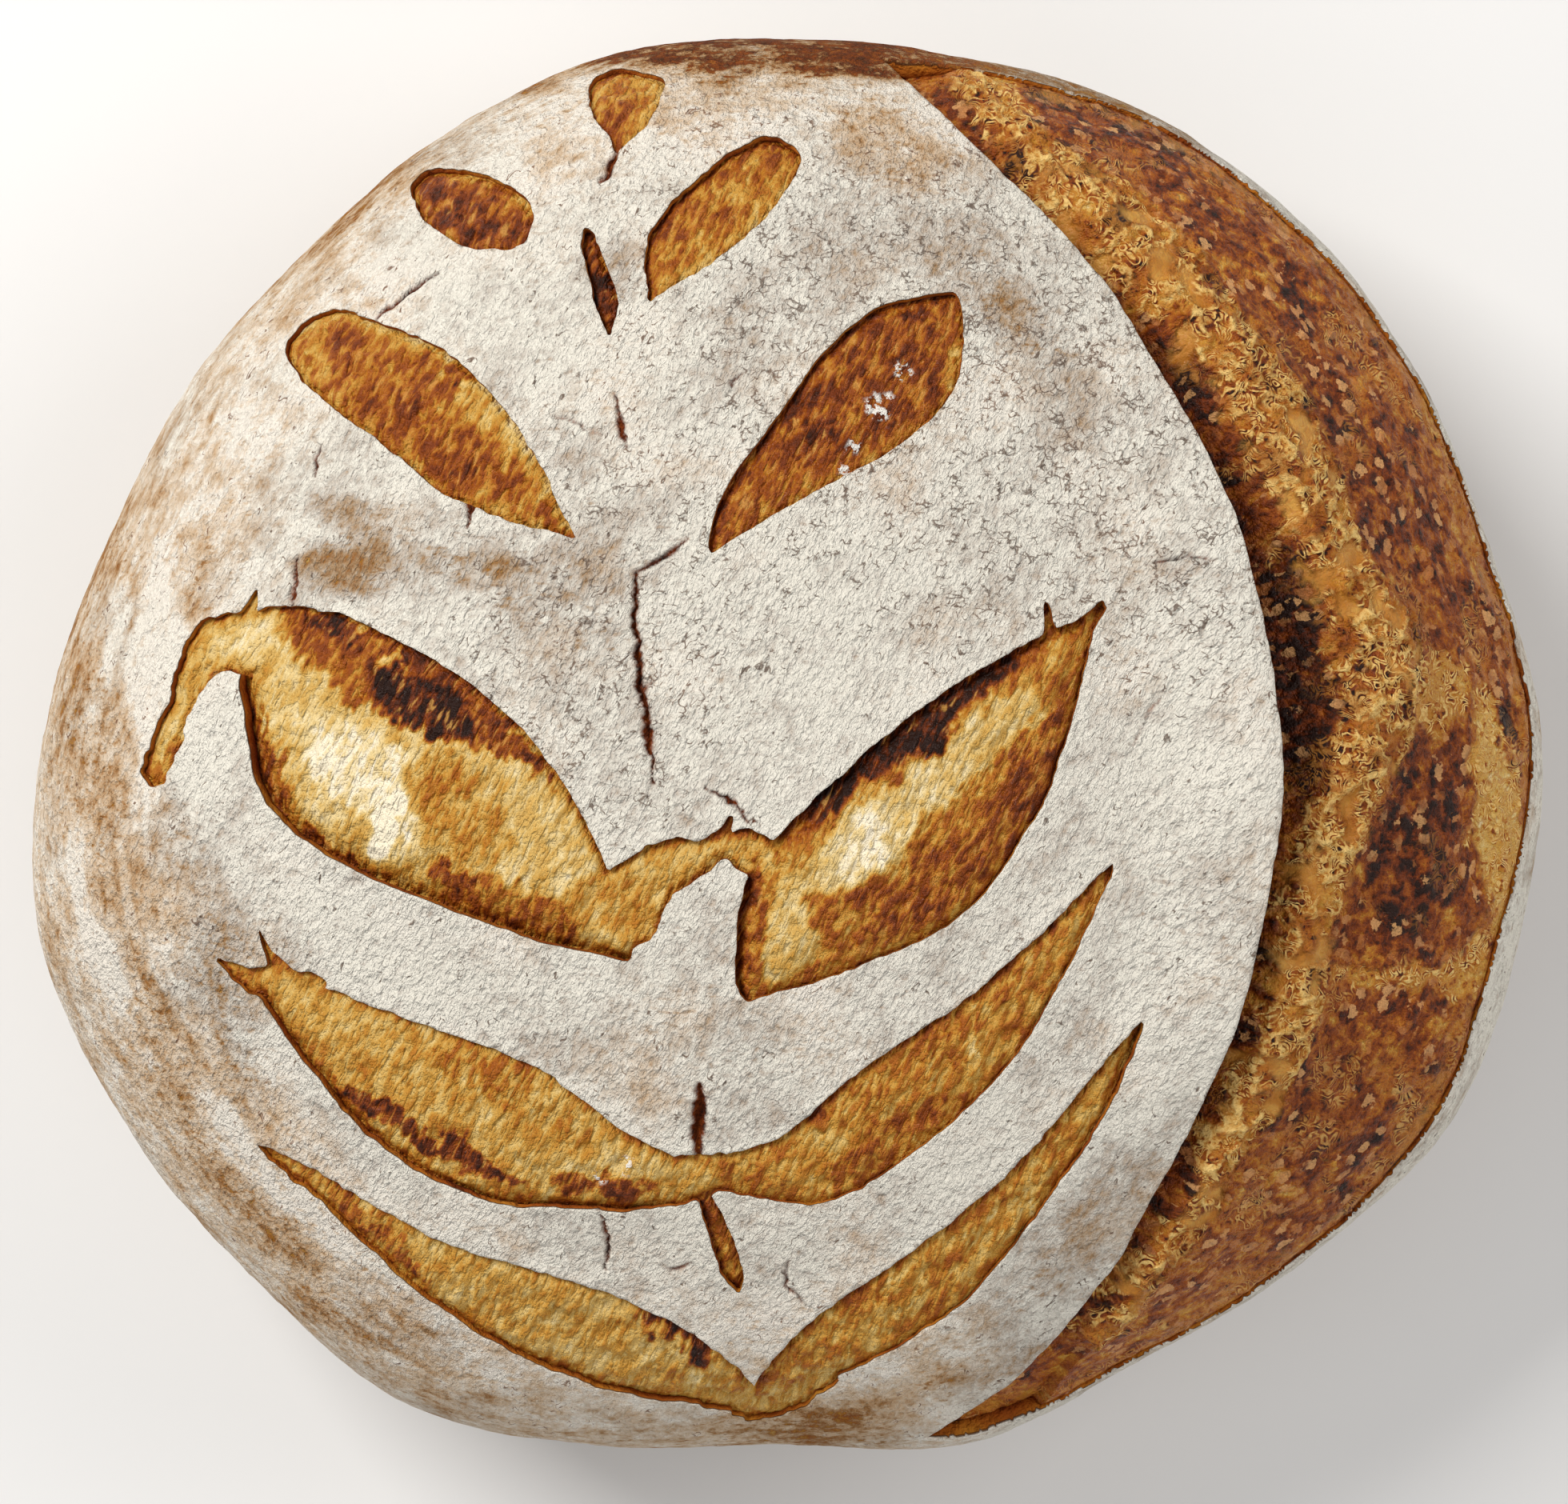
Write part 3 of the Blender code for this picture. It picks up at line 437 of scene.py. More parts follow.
class Spot:
    """Everything the surfaces need to know about a set of points of the map."""

    def __init__(self, x, y):
        self.x, self.y = x, y
        self.theta = np.arctan2(y, x)
        self.m = np.hypot(x, y)
        self.p, self.facing = plain_loaf(self.theta, self.m)
        self.u, self.v = seen(self.p)
        u, v = self.u, self.v
        degrees = np.degrees(self.theta)
        top = self.m < GIRTH_LENGTH
        self.out = np.stack([np.cos(self.theta), np.sin(self.theta), np.zeros_like(x)], -1)

        # the burst
        from_ear, _, side = from_line(u, v, ear_line())
        self.from_ear = from_ear * np.sign(side)
        self.stretch = smooth(1.25 - np.abs(v - 2.0) / EAR_REACH)
        self.root = self.from_ear + EAR_OVERHANG * self.stretch
        foot_z = through(BURST_FOOT, (degrees + 80.0) / 160.0)
        foot_m = np.interp(foot_z, LEVEL[::-1], LENGTH[::-1])
        foot_m = foot_m + 0.9 * layered(self.p, 14.0, 5) + 0.25 * noise(self.p, 3.4, 6)
        self.over_foot = foot_m - self.m
        on_side = np.abs(degrees) < 92.0
        waver = 0.22 * noise(self.p, 7.0, 8) + 0.14 * noise(self.p, 2.2, 9)
        self.burst = np.where(on_side, np.minimum(self.root + waver, self.over_foot), -99.0)
        self.ear = np.where(on_side, self.stretch * smooth(self.over_foot / 10.0), 0.0)

        # the leaf scores and the tears that join them
        n = len(x)
        self.inner = np.full(n, -99.0)
        self.own = np.ones((n, 9)) * np.array([0.0, 0.0, 0.0, 1.0, 1.0, 0.0, 0.5, 0.0, 0.0])
        self.share = np.full(n, 0.5)
        allowed = top & (self.burst < -3.0)
        self.ragged = 0.34 * noise(self.p, 4.2, 11) + 0.24 * noise(self.p, 1.5, 12)
        for name, (a, b, left, right) in LEAVES.items():
            edge = leaf_edge(a, b, left, right)
            near = self.near(edge, allowed, 14)
            if not len(near):
                continue
            d = in_edge(u[near], v[near], edge)
            a, b = np.array(a, float), np.array(b, float)
            size = np.hypot(*(b - a))
            along = (b - a) / size
            t = np.clip(((u[near] - a[0]) * along[0] + (v[near] - a[1]) * along[1]) / size, 0, 1)
            off = (v[near] - a[1]) * along[0] - (u[near] - a[0]) * along[1]
            s = np.arccos(1 - 2 * t) / math.pi
            up, low = through((0.0, *left, 0.0), s), through((0.0, *right, 0.0), s)
            share = np.clip((off - low) / np.maximum(up - low, 0.3), 0, 1)
            d = d + self.ragged[near] * (0.55 if name in ("third_left", "second_right") else 0.9)
            self.add(near, d, np.array(FLOORS[name]), share)
        for points, floor in TEARS:
            line = curve(points)
            near = self.near(line[:, :2], allowed, 12)
            if not len(near):
                continue
            d, along, _ = from_line(u[near], v[near], line[:, :2])
            wide = np.interp(along, np.linspace(0, 1, len(line)), line[:, 2])
            d = wide - d + self.ragged[near] * (0.8 + 0.9 * smooth(wide / 2.0))
            self.add(near, d, np.array(floor), np.full(len(near), 0.5))
        self.opening = np.maximum(self.burst, self.inner)

        # cracks that only part the skin
        self.crack = np.full(n, 99.0)
        self.crack_sink = np.zeros(n)
        wobble = 0.7 * noise(self.p, 3.0, 14) + 0.6 * noise(self.p, 1.2, 15)
        for a, c, b, width, depth in CRACKS:
            line = bend(a, c, b, 10)
            near = self.near(line, top, 4)
            if not len(near):
                continue
            d, along, _ = from_line(u[near] + wobble[near], v[near] + 0.4 * wobble[near], line)
            taper = 0.55 + 0.45 * np.sin(math.pi * np.clip(along, 0.04, 0.96))
            self.crack[near] = np.minimum(self.crack[near], np.maximum(d - width * taper, 0.0))
            self.crack_sink[near] = np.maximum(self.crack_sink[near], depth * taper * np.exp(-((d / (width * taper)) ** 2)))

    def near(self, line, among, reach):
        lo, hi = line.min(0) - reach, line.max(0) + reach
        return np.flatnonzero(among & (self.u > lo[0]) & (self.u < hi[0]) & (self.v > lo[1]) & (self.v < hi[1]))

    def add(self, at, d, row, share):
        was = self.inner[at]
        k = smooth(0.5 + (d - was) / 2.4)
        self.own[at] += k[:, None] * (row - self.own[at])
        self.share[at] += k * (share - self.share[at])
        self.inner[at] = np.maximum(was, d)

    def gap(self):
        """Extra depth along a leaf's edges, by side."""
        _, left, right, wide_left, wide_right = self.own[:, :5].T
        d, s = np.maximum(self.inner, 0.0), smooth(self.share)
        return s * left * np.exp(-((d / wide_left) ** 2)) + (1 - s) * right * np.exp(-((d / wide_right) ** 2))

    def leaf_sink(self):
        d = np.maximum(self.inner, 0.0)
        return self.own[:, 0] + self.gap() - self.own[:, 5] * (1 - np.exp(-d / 2.5))

    def survey(self):
        """Where a point lies between the ear and the ridge, and how much of it is torn golden crumb."""
        line = curve(RIDGE, 80)
        d, along, side = from_line(self.u, self.v, line[:, :2])
        self.beyond = d * side
        wide = np.interp(along, np.linspace(0, 1, len(line)), line[:, 2])
        root = np.maximum(self.root, 0.0)
        inside = np.maximum(-self.beyond, 0.0)
        self.across = np.where(self.beyond < 0, root / (root + inside + 0.3), 1 + self.beyond / 12.0)
        rough = 2.2 * noise(self.p, 7.0, 91) + 1.7 * noise(self.p, 2.8, 92) + 0.9 * noise(self.p, 1.3, 93)
        self.golden = 1 - smooth((np.abs(self.beyond + 0.6 * rough) - wide * (1 + 0.28 * noise(self.p, 15.0, 94)) - rough) / 1.5 + 0.5)

    def relief(self):
        """The uneven swelling that skin and crumb share."""
        relief = 0.55 * layered(self.p, 30.0, 21, 2) + 0.30 * layered(self.p, 11.0, 23, 2) + 0.16 * layered(self.p, 4.0, 25, 2)
        return relief * (1 - smooth((self.m - RIM_LENGTH + 9.0) / 8.0))

    def skin(self):
        """The outer face of the floured skin."""
        d = np.maximum(-self.inner, 0.0)
        s = smooth(self.share)
        deep = s * self.own[:, 1] + (1 - s) * self.own[:, 2]
        curl = ((0.10 + 0.16 * np.minimum(deep, 3.0)) * np.exp(-d / 2.0) + 0.25 * np.exp(-d / 8.0)) * (self.inner > -30)
        small = 0.10 * noise(self.p, 2.0, 28) * smooth(-self.opening / 1.5)
        back = np.maximum(-self.root, 0.0)
        lift = self.ear * EAR_LIFT * np.exp(-((back / 11.0) ** 2)) * (1.0 + 0.35 * noise(self.p, 24.0, 27))
        reach = self.ear * EAR_OVERHANG * np.exp(-((back / 8.0) ** 2))
        hem = np.where((self.over_foot < 0) & (self.root > 0), 0.35 * np.exp(-np.maximum(-self.over_foot, 0.0) / 2.2), 0.0)
        p = self.p + self.facing * (self.relief() + curl + small + lift + hem - self.crack_sink)[:, None] + self.out * reach[:, None]
        p[:, 2] = np.maximum(p[:, 2], 0.0)
        return p

    def crumb(self):
        """The face of the crumb: baked where it shows, hidden below the skin elsewhere."""
        self.survey()
        share = np.clip(1.12 - np.abs(self.v - 2.0) / 118.0, 0.12, 1.0)
        groove = GROOVE_DEEP * share * (1 - smooth((self.across - 0.10) / 0.80))
        dip = 1.5 * share * smooth((self.beyond - 3.0) / 7.0) * smooth(self.over_foot / 14.0)
        wide = 5.5 * share
        ridge = 1.3 * share * np.exp(-((self.beyond / wide) ** 2)) * (1 + 0.5 * noise(self.p, 12.0, 31))
        burst = 0.35 + groove + dip - ridge
        lump = 0.8 * layered(self.p, 15.0, 33, 2) + 0.6 * layered(self.p, 5.5, 35, 2) * (0.5 + self.golden)
        burst = burst - lump * smooth(self.over_foot / 4.0) * smooth(self.root / 3.0)
        burst = np.maximum(burst, -1.2)
        rough = 0.6 * layered(self.p, 7.0, 37, 2) + 0.4 * noise(self.p, 2.6, 38)
        leaf = self.leaf_sink() - rough * smooth(self.inner / 2.5)
        sink = np.where(self.burst > self.inner, burst, leaf)
        shown = smooth((self.opening + 1.6) / 1.0)
        sink = HIDDEN + (sink - HIDDEN) * shown
        self.sink = sink
        return self.p + self.facing * (self.relief() - sink + self.fine())[:, None]

    def fine(self):
        """The crumb's small forms: torn curly strands, blisters, wrinkles."""
        open_burst = smooth(self.burst / 1.2)
        open_leaf = smooth(self.inner / 1.0)
        c, s = math.cos(FIBRE_TURN), math.sin(FIBRE_TURN)
        along, across = self.u * c + self.v * s, self.v * c - self.u * s
        self.fibre = np.stack([along, across / 3.4, self.p[:, 2] / 3.4], -1)
        leaf = 0.34 * strand(self.fibre, 2.0, 41, 0.30) + 0.24 * strand(self.fibre, 1.1, 43, 0.34) + 0.20 * noise(self.p, 1.4, 44)
        self.round = np.stack([np.cos(self.theta) * 108.0, np.sin(self.theta) * 108.0, self.m], -1)
        drawn = self.round / np.array([1.9, 1.9, 1.0])
        window = smooth((noise(self.p, 4.2, 47) - 0.10) / 0.34)
        web = (0.60 * strand(self.p, 3.0, 49, 0.20) + 0.36 * strand(self.p, 1.6, 50, 0.30)) * (1 - 0.85 * window)
        blister = 0.32 * smooth((noise(drawn, 3.2, 45) + 0.1) / 0.6)
        torn = np.clip(self.golden + 0.5 * np.exp(-((self.over_foot - 2.5) / 2.5) ** 2), 0, 1)
        self.window = window * torn * open_burst
        self.strands = np.clip(web / 0.6, 0.0, 1.0) * torn * open_burst
        burst = torn * (web + 0.16 * noise(self.p, 1.3, 53)) + (1 - torn) * blister
        return open_burst * burst + open_leaf * leaf


def field_grid():
    """How far inside an opening each point of a grid over the map lies."""
    half = GIRTH_LENGTH + 16.0
    axis = np.arange(-half, half, MAP_STEP)
    x, y = np.meshgrid(axis, axis)
    opening = np.full(x.size, -20.0)
    crack = np.full(x.size, 99.0)
    detail = np.zeros(x.size)
    rows = np.flatnonzero((np.hypot(x, y) < half).ravel())
    for part in np.array_split(rows, 8):
        spot = Spot(x.ravel()[part], y.ravel()[part])
        opening[part] = np.maximum(spot.opening, -20.0)
        crack[part] = spot.crack
        spot.survey()
        foot = np.exp(-(((spot.over_foot - 2.5) / 3.0) ** 2))
        detail[part] = np.where(spot.burst > spot.inner, np.maximum(spot.golden, foot), 1.0)
    return axis, opening.reshape(x.shape), crack.reshape(x.shape), detail.reshape(x.shape)


def read(axis, grid, x, y, outside):
    s = (x - axis[0]) / MAP_STEP
    t = (y - axis[0]) / MAP_STEP
    last = len(axis) - 2
    inside = (s >= 0) & (t >= 0) & (s < last) & (t < last)
    i, j = np.clip(s.astype(int), 0, last), np.clip(t.astype(int), 0, last)
    f, g = s - i, t - j
    value = (grid[j, i] * (1 - f) + grid[j, i + 1] * f) * (1 - g) + (grid[j + 1, i] * (1 - f) + grid[j + 1, i + 1] * f) * g
    return np.where(inside, value, outside)


def zero_edges(axis, grid):
    """The zero level of a grid as points and the segments that join them (marching squares)."""
    f = np.where(np.abs(grid) < 1e-4, 1e-4, grid)
    up = f > 0
    flat_cut, tall_cut = up[:, :-1] != up[:, 1:], up[:-1, :] != up[1:, :]
    flat_id = np.full(flat_cut.shape, -1)
    tall_id = np.full(tall_cut.shape, -1)
    flat_id[flat_cut] = np.arange(flat_cut.sum())
    tall_id[tall_cut] = np.arange(tall_cut.sum()) + flat_cut.sum()
    j, i = np.nonzero(flat_cut)
    t = np.clip(f[j, i] / (f[j, i] - f[j, i + 1]), 0.12, 0.88)
    flat_points = np.stack([axis[i] + t * MAP_STEP, axis[j]], -1)
    j, i = np.nonzero(tall_cut)
    t = np.clip(f[j, i] / (f[j, i] - f[j + 1, i]), 0.12, 0.88)
    tall_points = np.stack([axis[i], axis[j] + t * MAP_STEP], -1)
    bottom, top = flat_id[:-1], flat_id[1:]
    left, right = tall_id[:, :-1], tall_id[:, 1:]
    around = np.stack([bottom, right, top, left], -1)
    count = (around >= 0).sum(-1)
    two = np.sort(around[count == 2], -1)[:, 2:]
    four = around[count == 4]
    middle = (f[:-1, :-1] + f[1:, :-1] + f[:-1, 1:] + f[1:, 1:])[count == 4] > 0
    same = (middle == up[:-1, :-1][count == 4])[:, None]
    one = np.where(same, four[:, [0, 1]], four[:, [0, 3]])
    other = np.where(same, four[:, [2, 3]], four[:, [2, 1]])
    return np.concatenate([flat_points, tall_points]), np.concatenate([two, one, other])


def lattice(spacing, finest=FINEST):
    """Points of a nested triangular lattice, as dense at each place as spacing(x, y) asks, a little unsettled."""
    reach = RIM_LENGTH - 0.8
    steps = int(reach / finest / 0.866) + 2
    kept = []
    for j in range(-steps, steps + 1):
        y = j * finest * 0.8660254
        if abs(y) > reach:
            continue
        i = np.arange(-2 * steps, 2 * steps + 1)
        x = (i + 0.5 * j) * finest
        near = np.abs(x) <= math.sqrt(max(reach * reach - y * y, 0.0))
        i, x = i[near], x[near]
        both = np.abs(i) | abs(j)
        level = np.zeros(len(i), int)
        for k in range(1, 6):
            level[(both % (1 << k)) == 0] = k
        kept.append(np.stack([x, np.full(len(x), y), level], -1))
    kept = np.concatenate(kept)
    x, y, level = kept[:, 0], kept[:, 1], kept[:, 2]
    own = finest * 2.0**level
    wanted = spacing(x, y)
    keep = wanted < own * 1.42
    x, y, own = x[keep], y[keep], own[keep]
    step = np.minimum(own, 1.6)
    h = scramble(np.round(x * 97).astype(np.int64), np.round(y * 89).astype(np.int64), np.zeros(len(x), np.int64), 77)
    x = x + ((h & 1023) / 1023.0 - 0.5) * 0.34 * step
    y = y + (((h >> 10) & 1023) / 1023.0 - 0.5) * 0.34 * step
    return x, y


def triangulate(points, edges):
    made = delaunay_2d_cdt([Vector(p) for p in points], [tuple(e) for e in edges], [], 0, 1e-7, True)
    verts, faces, origins = made[0], made[2], made[3]
    if len(verts) != len(points):
        raise RuntimeError(f"the map's edges cross: {len(points)} points became {len(verts)}")
    first = np.array([o[0] for o in origins])
    tris = first[np.array(faces)]
    p = np.asarray(points)
    a, b, c = p[tris[:, 0]], p[tris[:, 1]], p[tris[:, 2]]
    turn = (b[:, 0] - a[:, 0]) * (c[:, 1] - a[:, 1]) - (b[:, 1] - a[:, 1]) * (c[:, 0] - a[:, 0])
    tris[turn < 0] = tris[turn < 0][:, ::-1]
    return tris[np.abs(turn) > 1e-10]


def regions(tris, walls, value):
    """Splits triangles into regions that the walls part, and gives each the sign of its mean value."""
    ends = np.concatenate([tris[:, [0, 1]], tris[:, [1, 2]], tris[:, [2, 0]]])
    ends.sort(axis=1)
    base = int(tris.max()) + 1
    key = ends[:, 0] * base + ends[:, 1]
    w = np.sort(np.asarray(walls), axis=1)
    wall = np.isin(key, w[:, 0] * base + w[:, 1])
    owner = np.tile(np.arange(len(tris)), 3)
    order = np.argsort(key, kind="stable")
    k, o, blocked = key[order], owner[order], wall[order]
    pair = (k[:-1] == k[1:]) & ~blocked[:-1]
    a, b = o[:-1][pair], o[1:][pair]
    label = np.arange(len(tris))
    while True:
        low = np.minimum(label[a], label[b])
        new = label.copy()
        np.minimum.at(new, a, low)
        np.minimum.at(new, b, low)
        new = new[new]
        new = new[new]
        if (new == label).all():
            break
        label = new
    total = np.bincount(label, weights=value, minlength=len(tris))
    return total[label] > 0


def boundary(tris):
    """Edges that belong to one triangle only, in that triangle's direction."""
    ends = np.concatenate([tris[:, [0, 1]], tris[:, [1, 2]], tris[:, [2, 0]]])
    low, high = ends.min(1), ends.max(1)
    base = int(tris.max()) + 1
    _, index, count = np.unique(low * base + high, return_inverse=True, return_counts=True)
    return ends[count[index.reshape(-1)] == 1]


RIM_COUNT = 300
rim_angle = np.linspace(0, 2 * math.pi, RIM_COUNT, endpoint=False)
rim_points = RIM_LENGTH * np.stack([np.cos(rim_angle), np.sin(rim_angle)], -1)
rim_edges = np.stack([np.arange(RIM_COUNT), (np.arange(RIM_COUNT) + 1) % RIM_COUNT], -1)


def base_disc(rim):
    """The flat underside inside a rim of points: its inner points and triangles, facing down."""
    ring_plan = rim[:, :2]
    centre = ring_plan.mean(0)
    inner = []
    for k in range(1, 12):
        part = ring_plan[:: max(1, k * 2)] if k < 9 else ring_plan[:: 40]
        inner.append(centre + (part - centre) * (1 - k / 12.0))
    inner = np.concatenate([*inner, [centre]])
    points = np.concatenate([ring_plan, inner])
    tris = triangulate(points, rim_edges)
    return np.column_stack([inner, np.zeros(len(inner))]), tris[:, ::-1]


def disc_uv(x, y, share=0.47, low_share=0.40, middle=(0.5, 0.5)):
    """The map laid into the unit square, with most of the room for the top."""
    m, theta = np.hypot(x, y), np.arctan2(y, x)
    r = np.interp(m, (0.0, GIRTH_LENGTH, RIM_LENGTH), (0.0, low_share, share))
    return np.stack([middle[0] + r * np.cos(theta), middle[1] + r * np.sin(theta)], -1)


def make_piece(name, points, tris, uv, attributes, material):
    mesh = bpy.data.meshes.new(name)
    mesh.vertices.add(len(points))
    mesh.vertices.foreach_set("co", (np.asarray(points) / 1000.0).astype(np.float32).ravel())
    mesh.loops.add(3 * len(tris))
    mesh.loops.foreach_set("vertex_index", tris.ravel().astype(np.int32))
    mesh.polygons.add(len(tris))
    mesh.polygons.foreach_set("loop_start", np.arange(0, 3 * len(tris), 3, dtype=np.int32))
    mesh.update(calc_edges=True)
    mesh.validate(clean_customdata=False)
    layer = mesh.uv_layers.new(name="OFBake")
    loops = np.empty(len(mesh.loops), np.int32)
    mesh.loops.foreach_get("vertex_index", loops)
    layer.data.foreach_set("uv", uv[loops].astype(np.float32).ravel())
    for key, values in attributes.items():
        if values.ndim == 2:
            made = mesh.attributes.new(key, "FLOAT_VECTOR", "POINT")
            made.data.foreach_set("vector", values.astype(np.float32).ravel())
        else:
            made = mesh.attributes.new(key, "FLOAT", "POINT")
            made.data.foreach_set("value", values.astype(np.float32))
    mesh.shade_smooth()
    mesh.materials.append(material)
    obj = bpy.data.objects.new(name, mesh)
    bpy.context.scene.collection.objects.link(obj)
    return obj


def bake_and_painted_light(spot):
    """How far each point of the crumb is baked, 0 cream to 1 charred; the same level also holds two painted highlights
    and, along the openings' edges, some painted shade.
    """
    u, v = spot.u, spot.v
    shift = [1.8 * noise(spot.p, 6.0, 61 + k) + 1.1 * noise(spot.p, 2.2, 63 + k) + 0.7 * noise(spot.p, 1.1, 95 + k) for k in (0, 1)]
    pull = (spot.inner > -2) * (1.8 * noise(spot.fibre, 1.7, 98) + 1.2 * noise(spot.fibre, 0.9, 99))
    bu, bv = u + shift[0] - pull * math.sin(FIBRE_TURN), v + shift[1] + pull * math.cos(FIBRE_TURN)
    big = layered(spot.p, 16.0, 65, 3)
    near_lip = np.interp(spot.root, (0.0, 0.7, 1.6, 3.0), (0.54, 0.58, 0.70, 0.78))
    groove = near_lip + 0.14 * big
    outer = 0.67 + 0.20 * big + 0.08 * noise(spot.p, 4.0, 66)
    golden = 0.65 + 0.46 * layered(spot.p, 6.5, 68, 3)
    burst = np.where(spot.beyond < 0, groove, outer)
    burst = burst + (golden - burst) * spot.golden
    rim = np.interp(spot.over_foot, (-1.0, 0.5, 1.2, 2.5, 5.0, 9.0), (1.0, 0.9, 0.6, 0.34, 0.12, 0.0))
    burst = burst + (np.interp(spot.over_foot, (0.0, 0.9, 1.8, 9.0), (0.78, 0.62, 0.40, 0.42)) - burst) * rim
    inner = np.maximum(spot.inner, 0.0)
    leaf = spot.own[:, 6] + 0.18 * layered(spot.p, 7.0, 67, 3)
    in_burst = spot.burst > spot.inner
    level = np.where(in_burst, burst, leaf)
    for middle, long, wide, turn, bake, full in BAKED_AND_HIGHLIGHTS:
        k = blob(bu, bv, middle, long, wide, turn, True) * full
        level = level + (bake + 0.3 * (level - bake) * (1 - full) - level) * k
    # darker bands along the openings' edges: partly browner crust, partly painted shade under the skin's lip; negative
    # entries make paler edges
    s = smooth(spot.share)
    ragged = np.maximum(inner + 0.9 * noise(spot.p, 2.6, 89), 0.0)
    left, right = (
        spot.own[:, k] * np.exp(-((np.where(spot.own[:, k] < 0, ragged / 1.9, inner) / (0.45 + 0.7 * spot.own[:, k - 4])) ** 2))
        for k in (7, 8)
    )
    rim = s * left + (1 - s) * right
    rim = np.where(rim > 0, 0.66 * rim * (1 - smooth((level - 0.40) / 0.36)), rim * smooth((level - 0.15) / 0.30))
    return np.where(in_burst, level, level + rim)


def flour_cover(spot):
    """How thickly the flour lies on the skin, 0 bare to 1 thick."""
    u, v = spot.u, spot.v
    share = np.hypot(spot.p[:, 0], spot.p[:, 1]) / outline(spot.theta)
    cover = 0.87 - 0.16 * layered(spot.p, 24.0, 71, 3) + 0.10 * np.exp(-np.maximum(-spot.inner, 0.0) / 3.5) * (spot.inner > -30)
    cover = cover - 0.20 * smooth((share - 0.82) / 0.16) * (1 - smooth((u - 10.0) / 20.0))
    shift = 1.3 * noise(spot.p, 7.0, 75)
    for middle, long, wide, turn, thin in THIN_FLOUR:
        cover = cover - thin * blob(u + shift, v - shift, middle, long * 1.2, wide * 1.2, turn)
    low = 0.70 - 0.26 * smooth((spot.m - GIRTH_LENGTH - 6) / 34.0) + 0.16 * layered(spot.p, 22.0, 73, 3)
    cover = cover + (low - cover) * smooth((spot.m - GIRTH_LENGTH + 6.0 + 4.0 * noise(spot.p, 14.0, 74)) / 14.0)
    # the crust at the burst's upper end stays bare down its side
    bare_side = smooth((np.degrees(spot.theta) - 50.0) / 10.0) * (1 - smooth((np.degrees(spot.theta) - 88.0) / 12.0))
    cover = cover - 0.55 * bare_side * smooth((-spot.over_foot + 1.0) / 2.0) * (1 - smooth((-spot.over_foot - 14.0) / 12.0)) * (spot.root > -2.0)
    return np.clip(cover, 0.0, 1.1)


def linear(r, g, b):
    return tuple(((c / 255.0 + 0.055) / 1.055) ** 2.4 if c > 10 else c / 255.0 / 12.92 for c in (r, g, b))


class Shader:
    """A few shorthands for building a node material."""

    def __init__(self, name):
        self.material = bpy.data.materials.new(name)
        self.material.use_nodes = True
        self.tree = self.material.node_tree
        self.nodes = self.tree.nodes
        self.principled = self.nodes["Principled BSDF"]

    def link(self, source, target):
        self.tree.links.new(source, target)

    def node(self, kind, **settings):
        made = self.nodes.new(kind)
        for key, value in settings.items():
            setattr(made, key, value)
        return made

    def put(self, socket, value):
        if hasattr(value, "is_output") or isinstance(value, bpy.types.NodeSocket):
            self.link(value, socket)
        else:
            socket.default_value = value

    def attribute(self, name, vector=False):
        made = self.node("ShaderNodeAttribute", attribute_name=name)
        return made.outputs["Vector" if vector else "Fac"]

    def math(self, operation, a, b=None, c=None, clamp=False):
        made = self.node("ShaderNodeMath", operation=operation, use_clamp=clamp)
        for socket, value in zip(made.inputs, (a, b, c)):
            if value is not None:
                self.put(socket, value)
        return made.outputs[0]

    def place(self, scale=(1.0, 1.0, 1.0), source=None):
        """The object's own coordinates in millimetres, stretched by scale."""
        if source is None:
            source = self.node("ShaderNodeTexCoord").outputs["Object"]
            scale = tuple(1000.0 * s for s in scale)
        made = self.node("ShaderNodeMapping")
        self.link(source, made.inputs["Vector"])
        made.inputs["Scale"].default_value = scale
        return made.outputs[0]

    def noise(self, at, size, detail=2.0, rough=0.5, warp=0.0):
        made = self.node("ShaderNodeTexNoise")
        self.link(at, made.inputs["Vector"])
        made.inputs["Scale"].default_value = 1.0 / size
        made.inputs["Detail"].default_value = detail
        made.inputs["Roughness"].default_value = rough
        made.inputs["Distortion"].default_value = warp
        return made.outputs["Fac"]

    def voronoi(self, at, size, feature="F1", random=1.0):
        made = self.node("ShaderNodeTexVoronoi", feature=feature)
        self.link(at, made.inputs["Vector"])
        made.inputs["Scale"].default_value = 1.0 / size
        made.inputs["Randomness"].default_value = random
        return made

    def span(self, value, low, high, to_low=0.0, to_high=1.0):
        made = self.node("ShaderNodeMapRange", interpolation_type="SMOOTHSTEP")
        self.put(made.inputs["Value"], value)
        for key, number in zip(("From Min", "From Max", "To Min", "To Max"), (low, high, to_low, to_high)):
            self.put(made.inputs[key], number)
        return made.outputs["Result"]

    def ramp(self, value, stops):
        made = self.node("ShaderNodeValToRGB")
        self.put(made.inputs[0], value)
        elements = made.color_ramp.elements
        for k, (where, colour) in enumerate(stops):
            element = elements[k] if k < 2 else elements.new(where)
            element.position = where
            element.color = (*colour, 1.0)
        return made.outputs[0]

    def mix(self, share, a, b, blend="MIX"):
        made = self.node("ShaderNodeMix", data_type="RGBA", blend_type=blend)
        self.put(made.inputs[0], share)
        for socket, value in ((made.inputs[6], a), (made.inputs[7], b)):
            self.put(socket, value if isinstance(value, bpy.types.NodeSocket) else (*value, 1.0))
        return made.outputs[2]

    def bump(self, height, distance, strength=1.0, after=None):
        made = self.node("ShaderNodeBump")
        made.inputs["Strength"].default_value = strength
        made.inputs["Distance"].default_value = distance
        self.link(height, made.inputs["Height"])
        if after is not None:
            self.link(after, made.inputs["Normal"])
        return made.outputs[0]


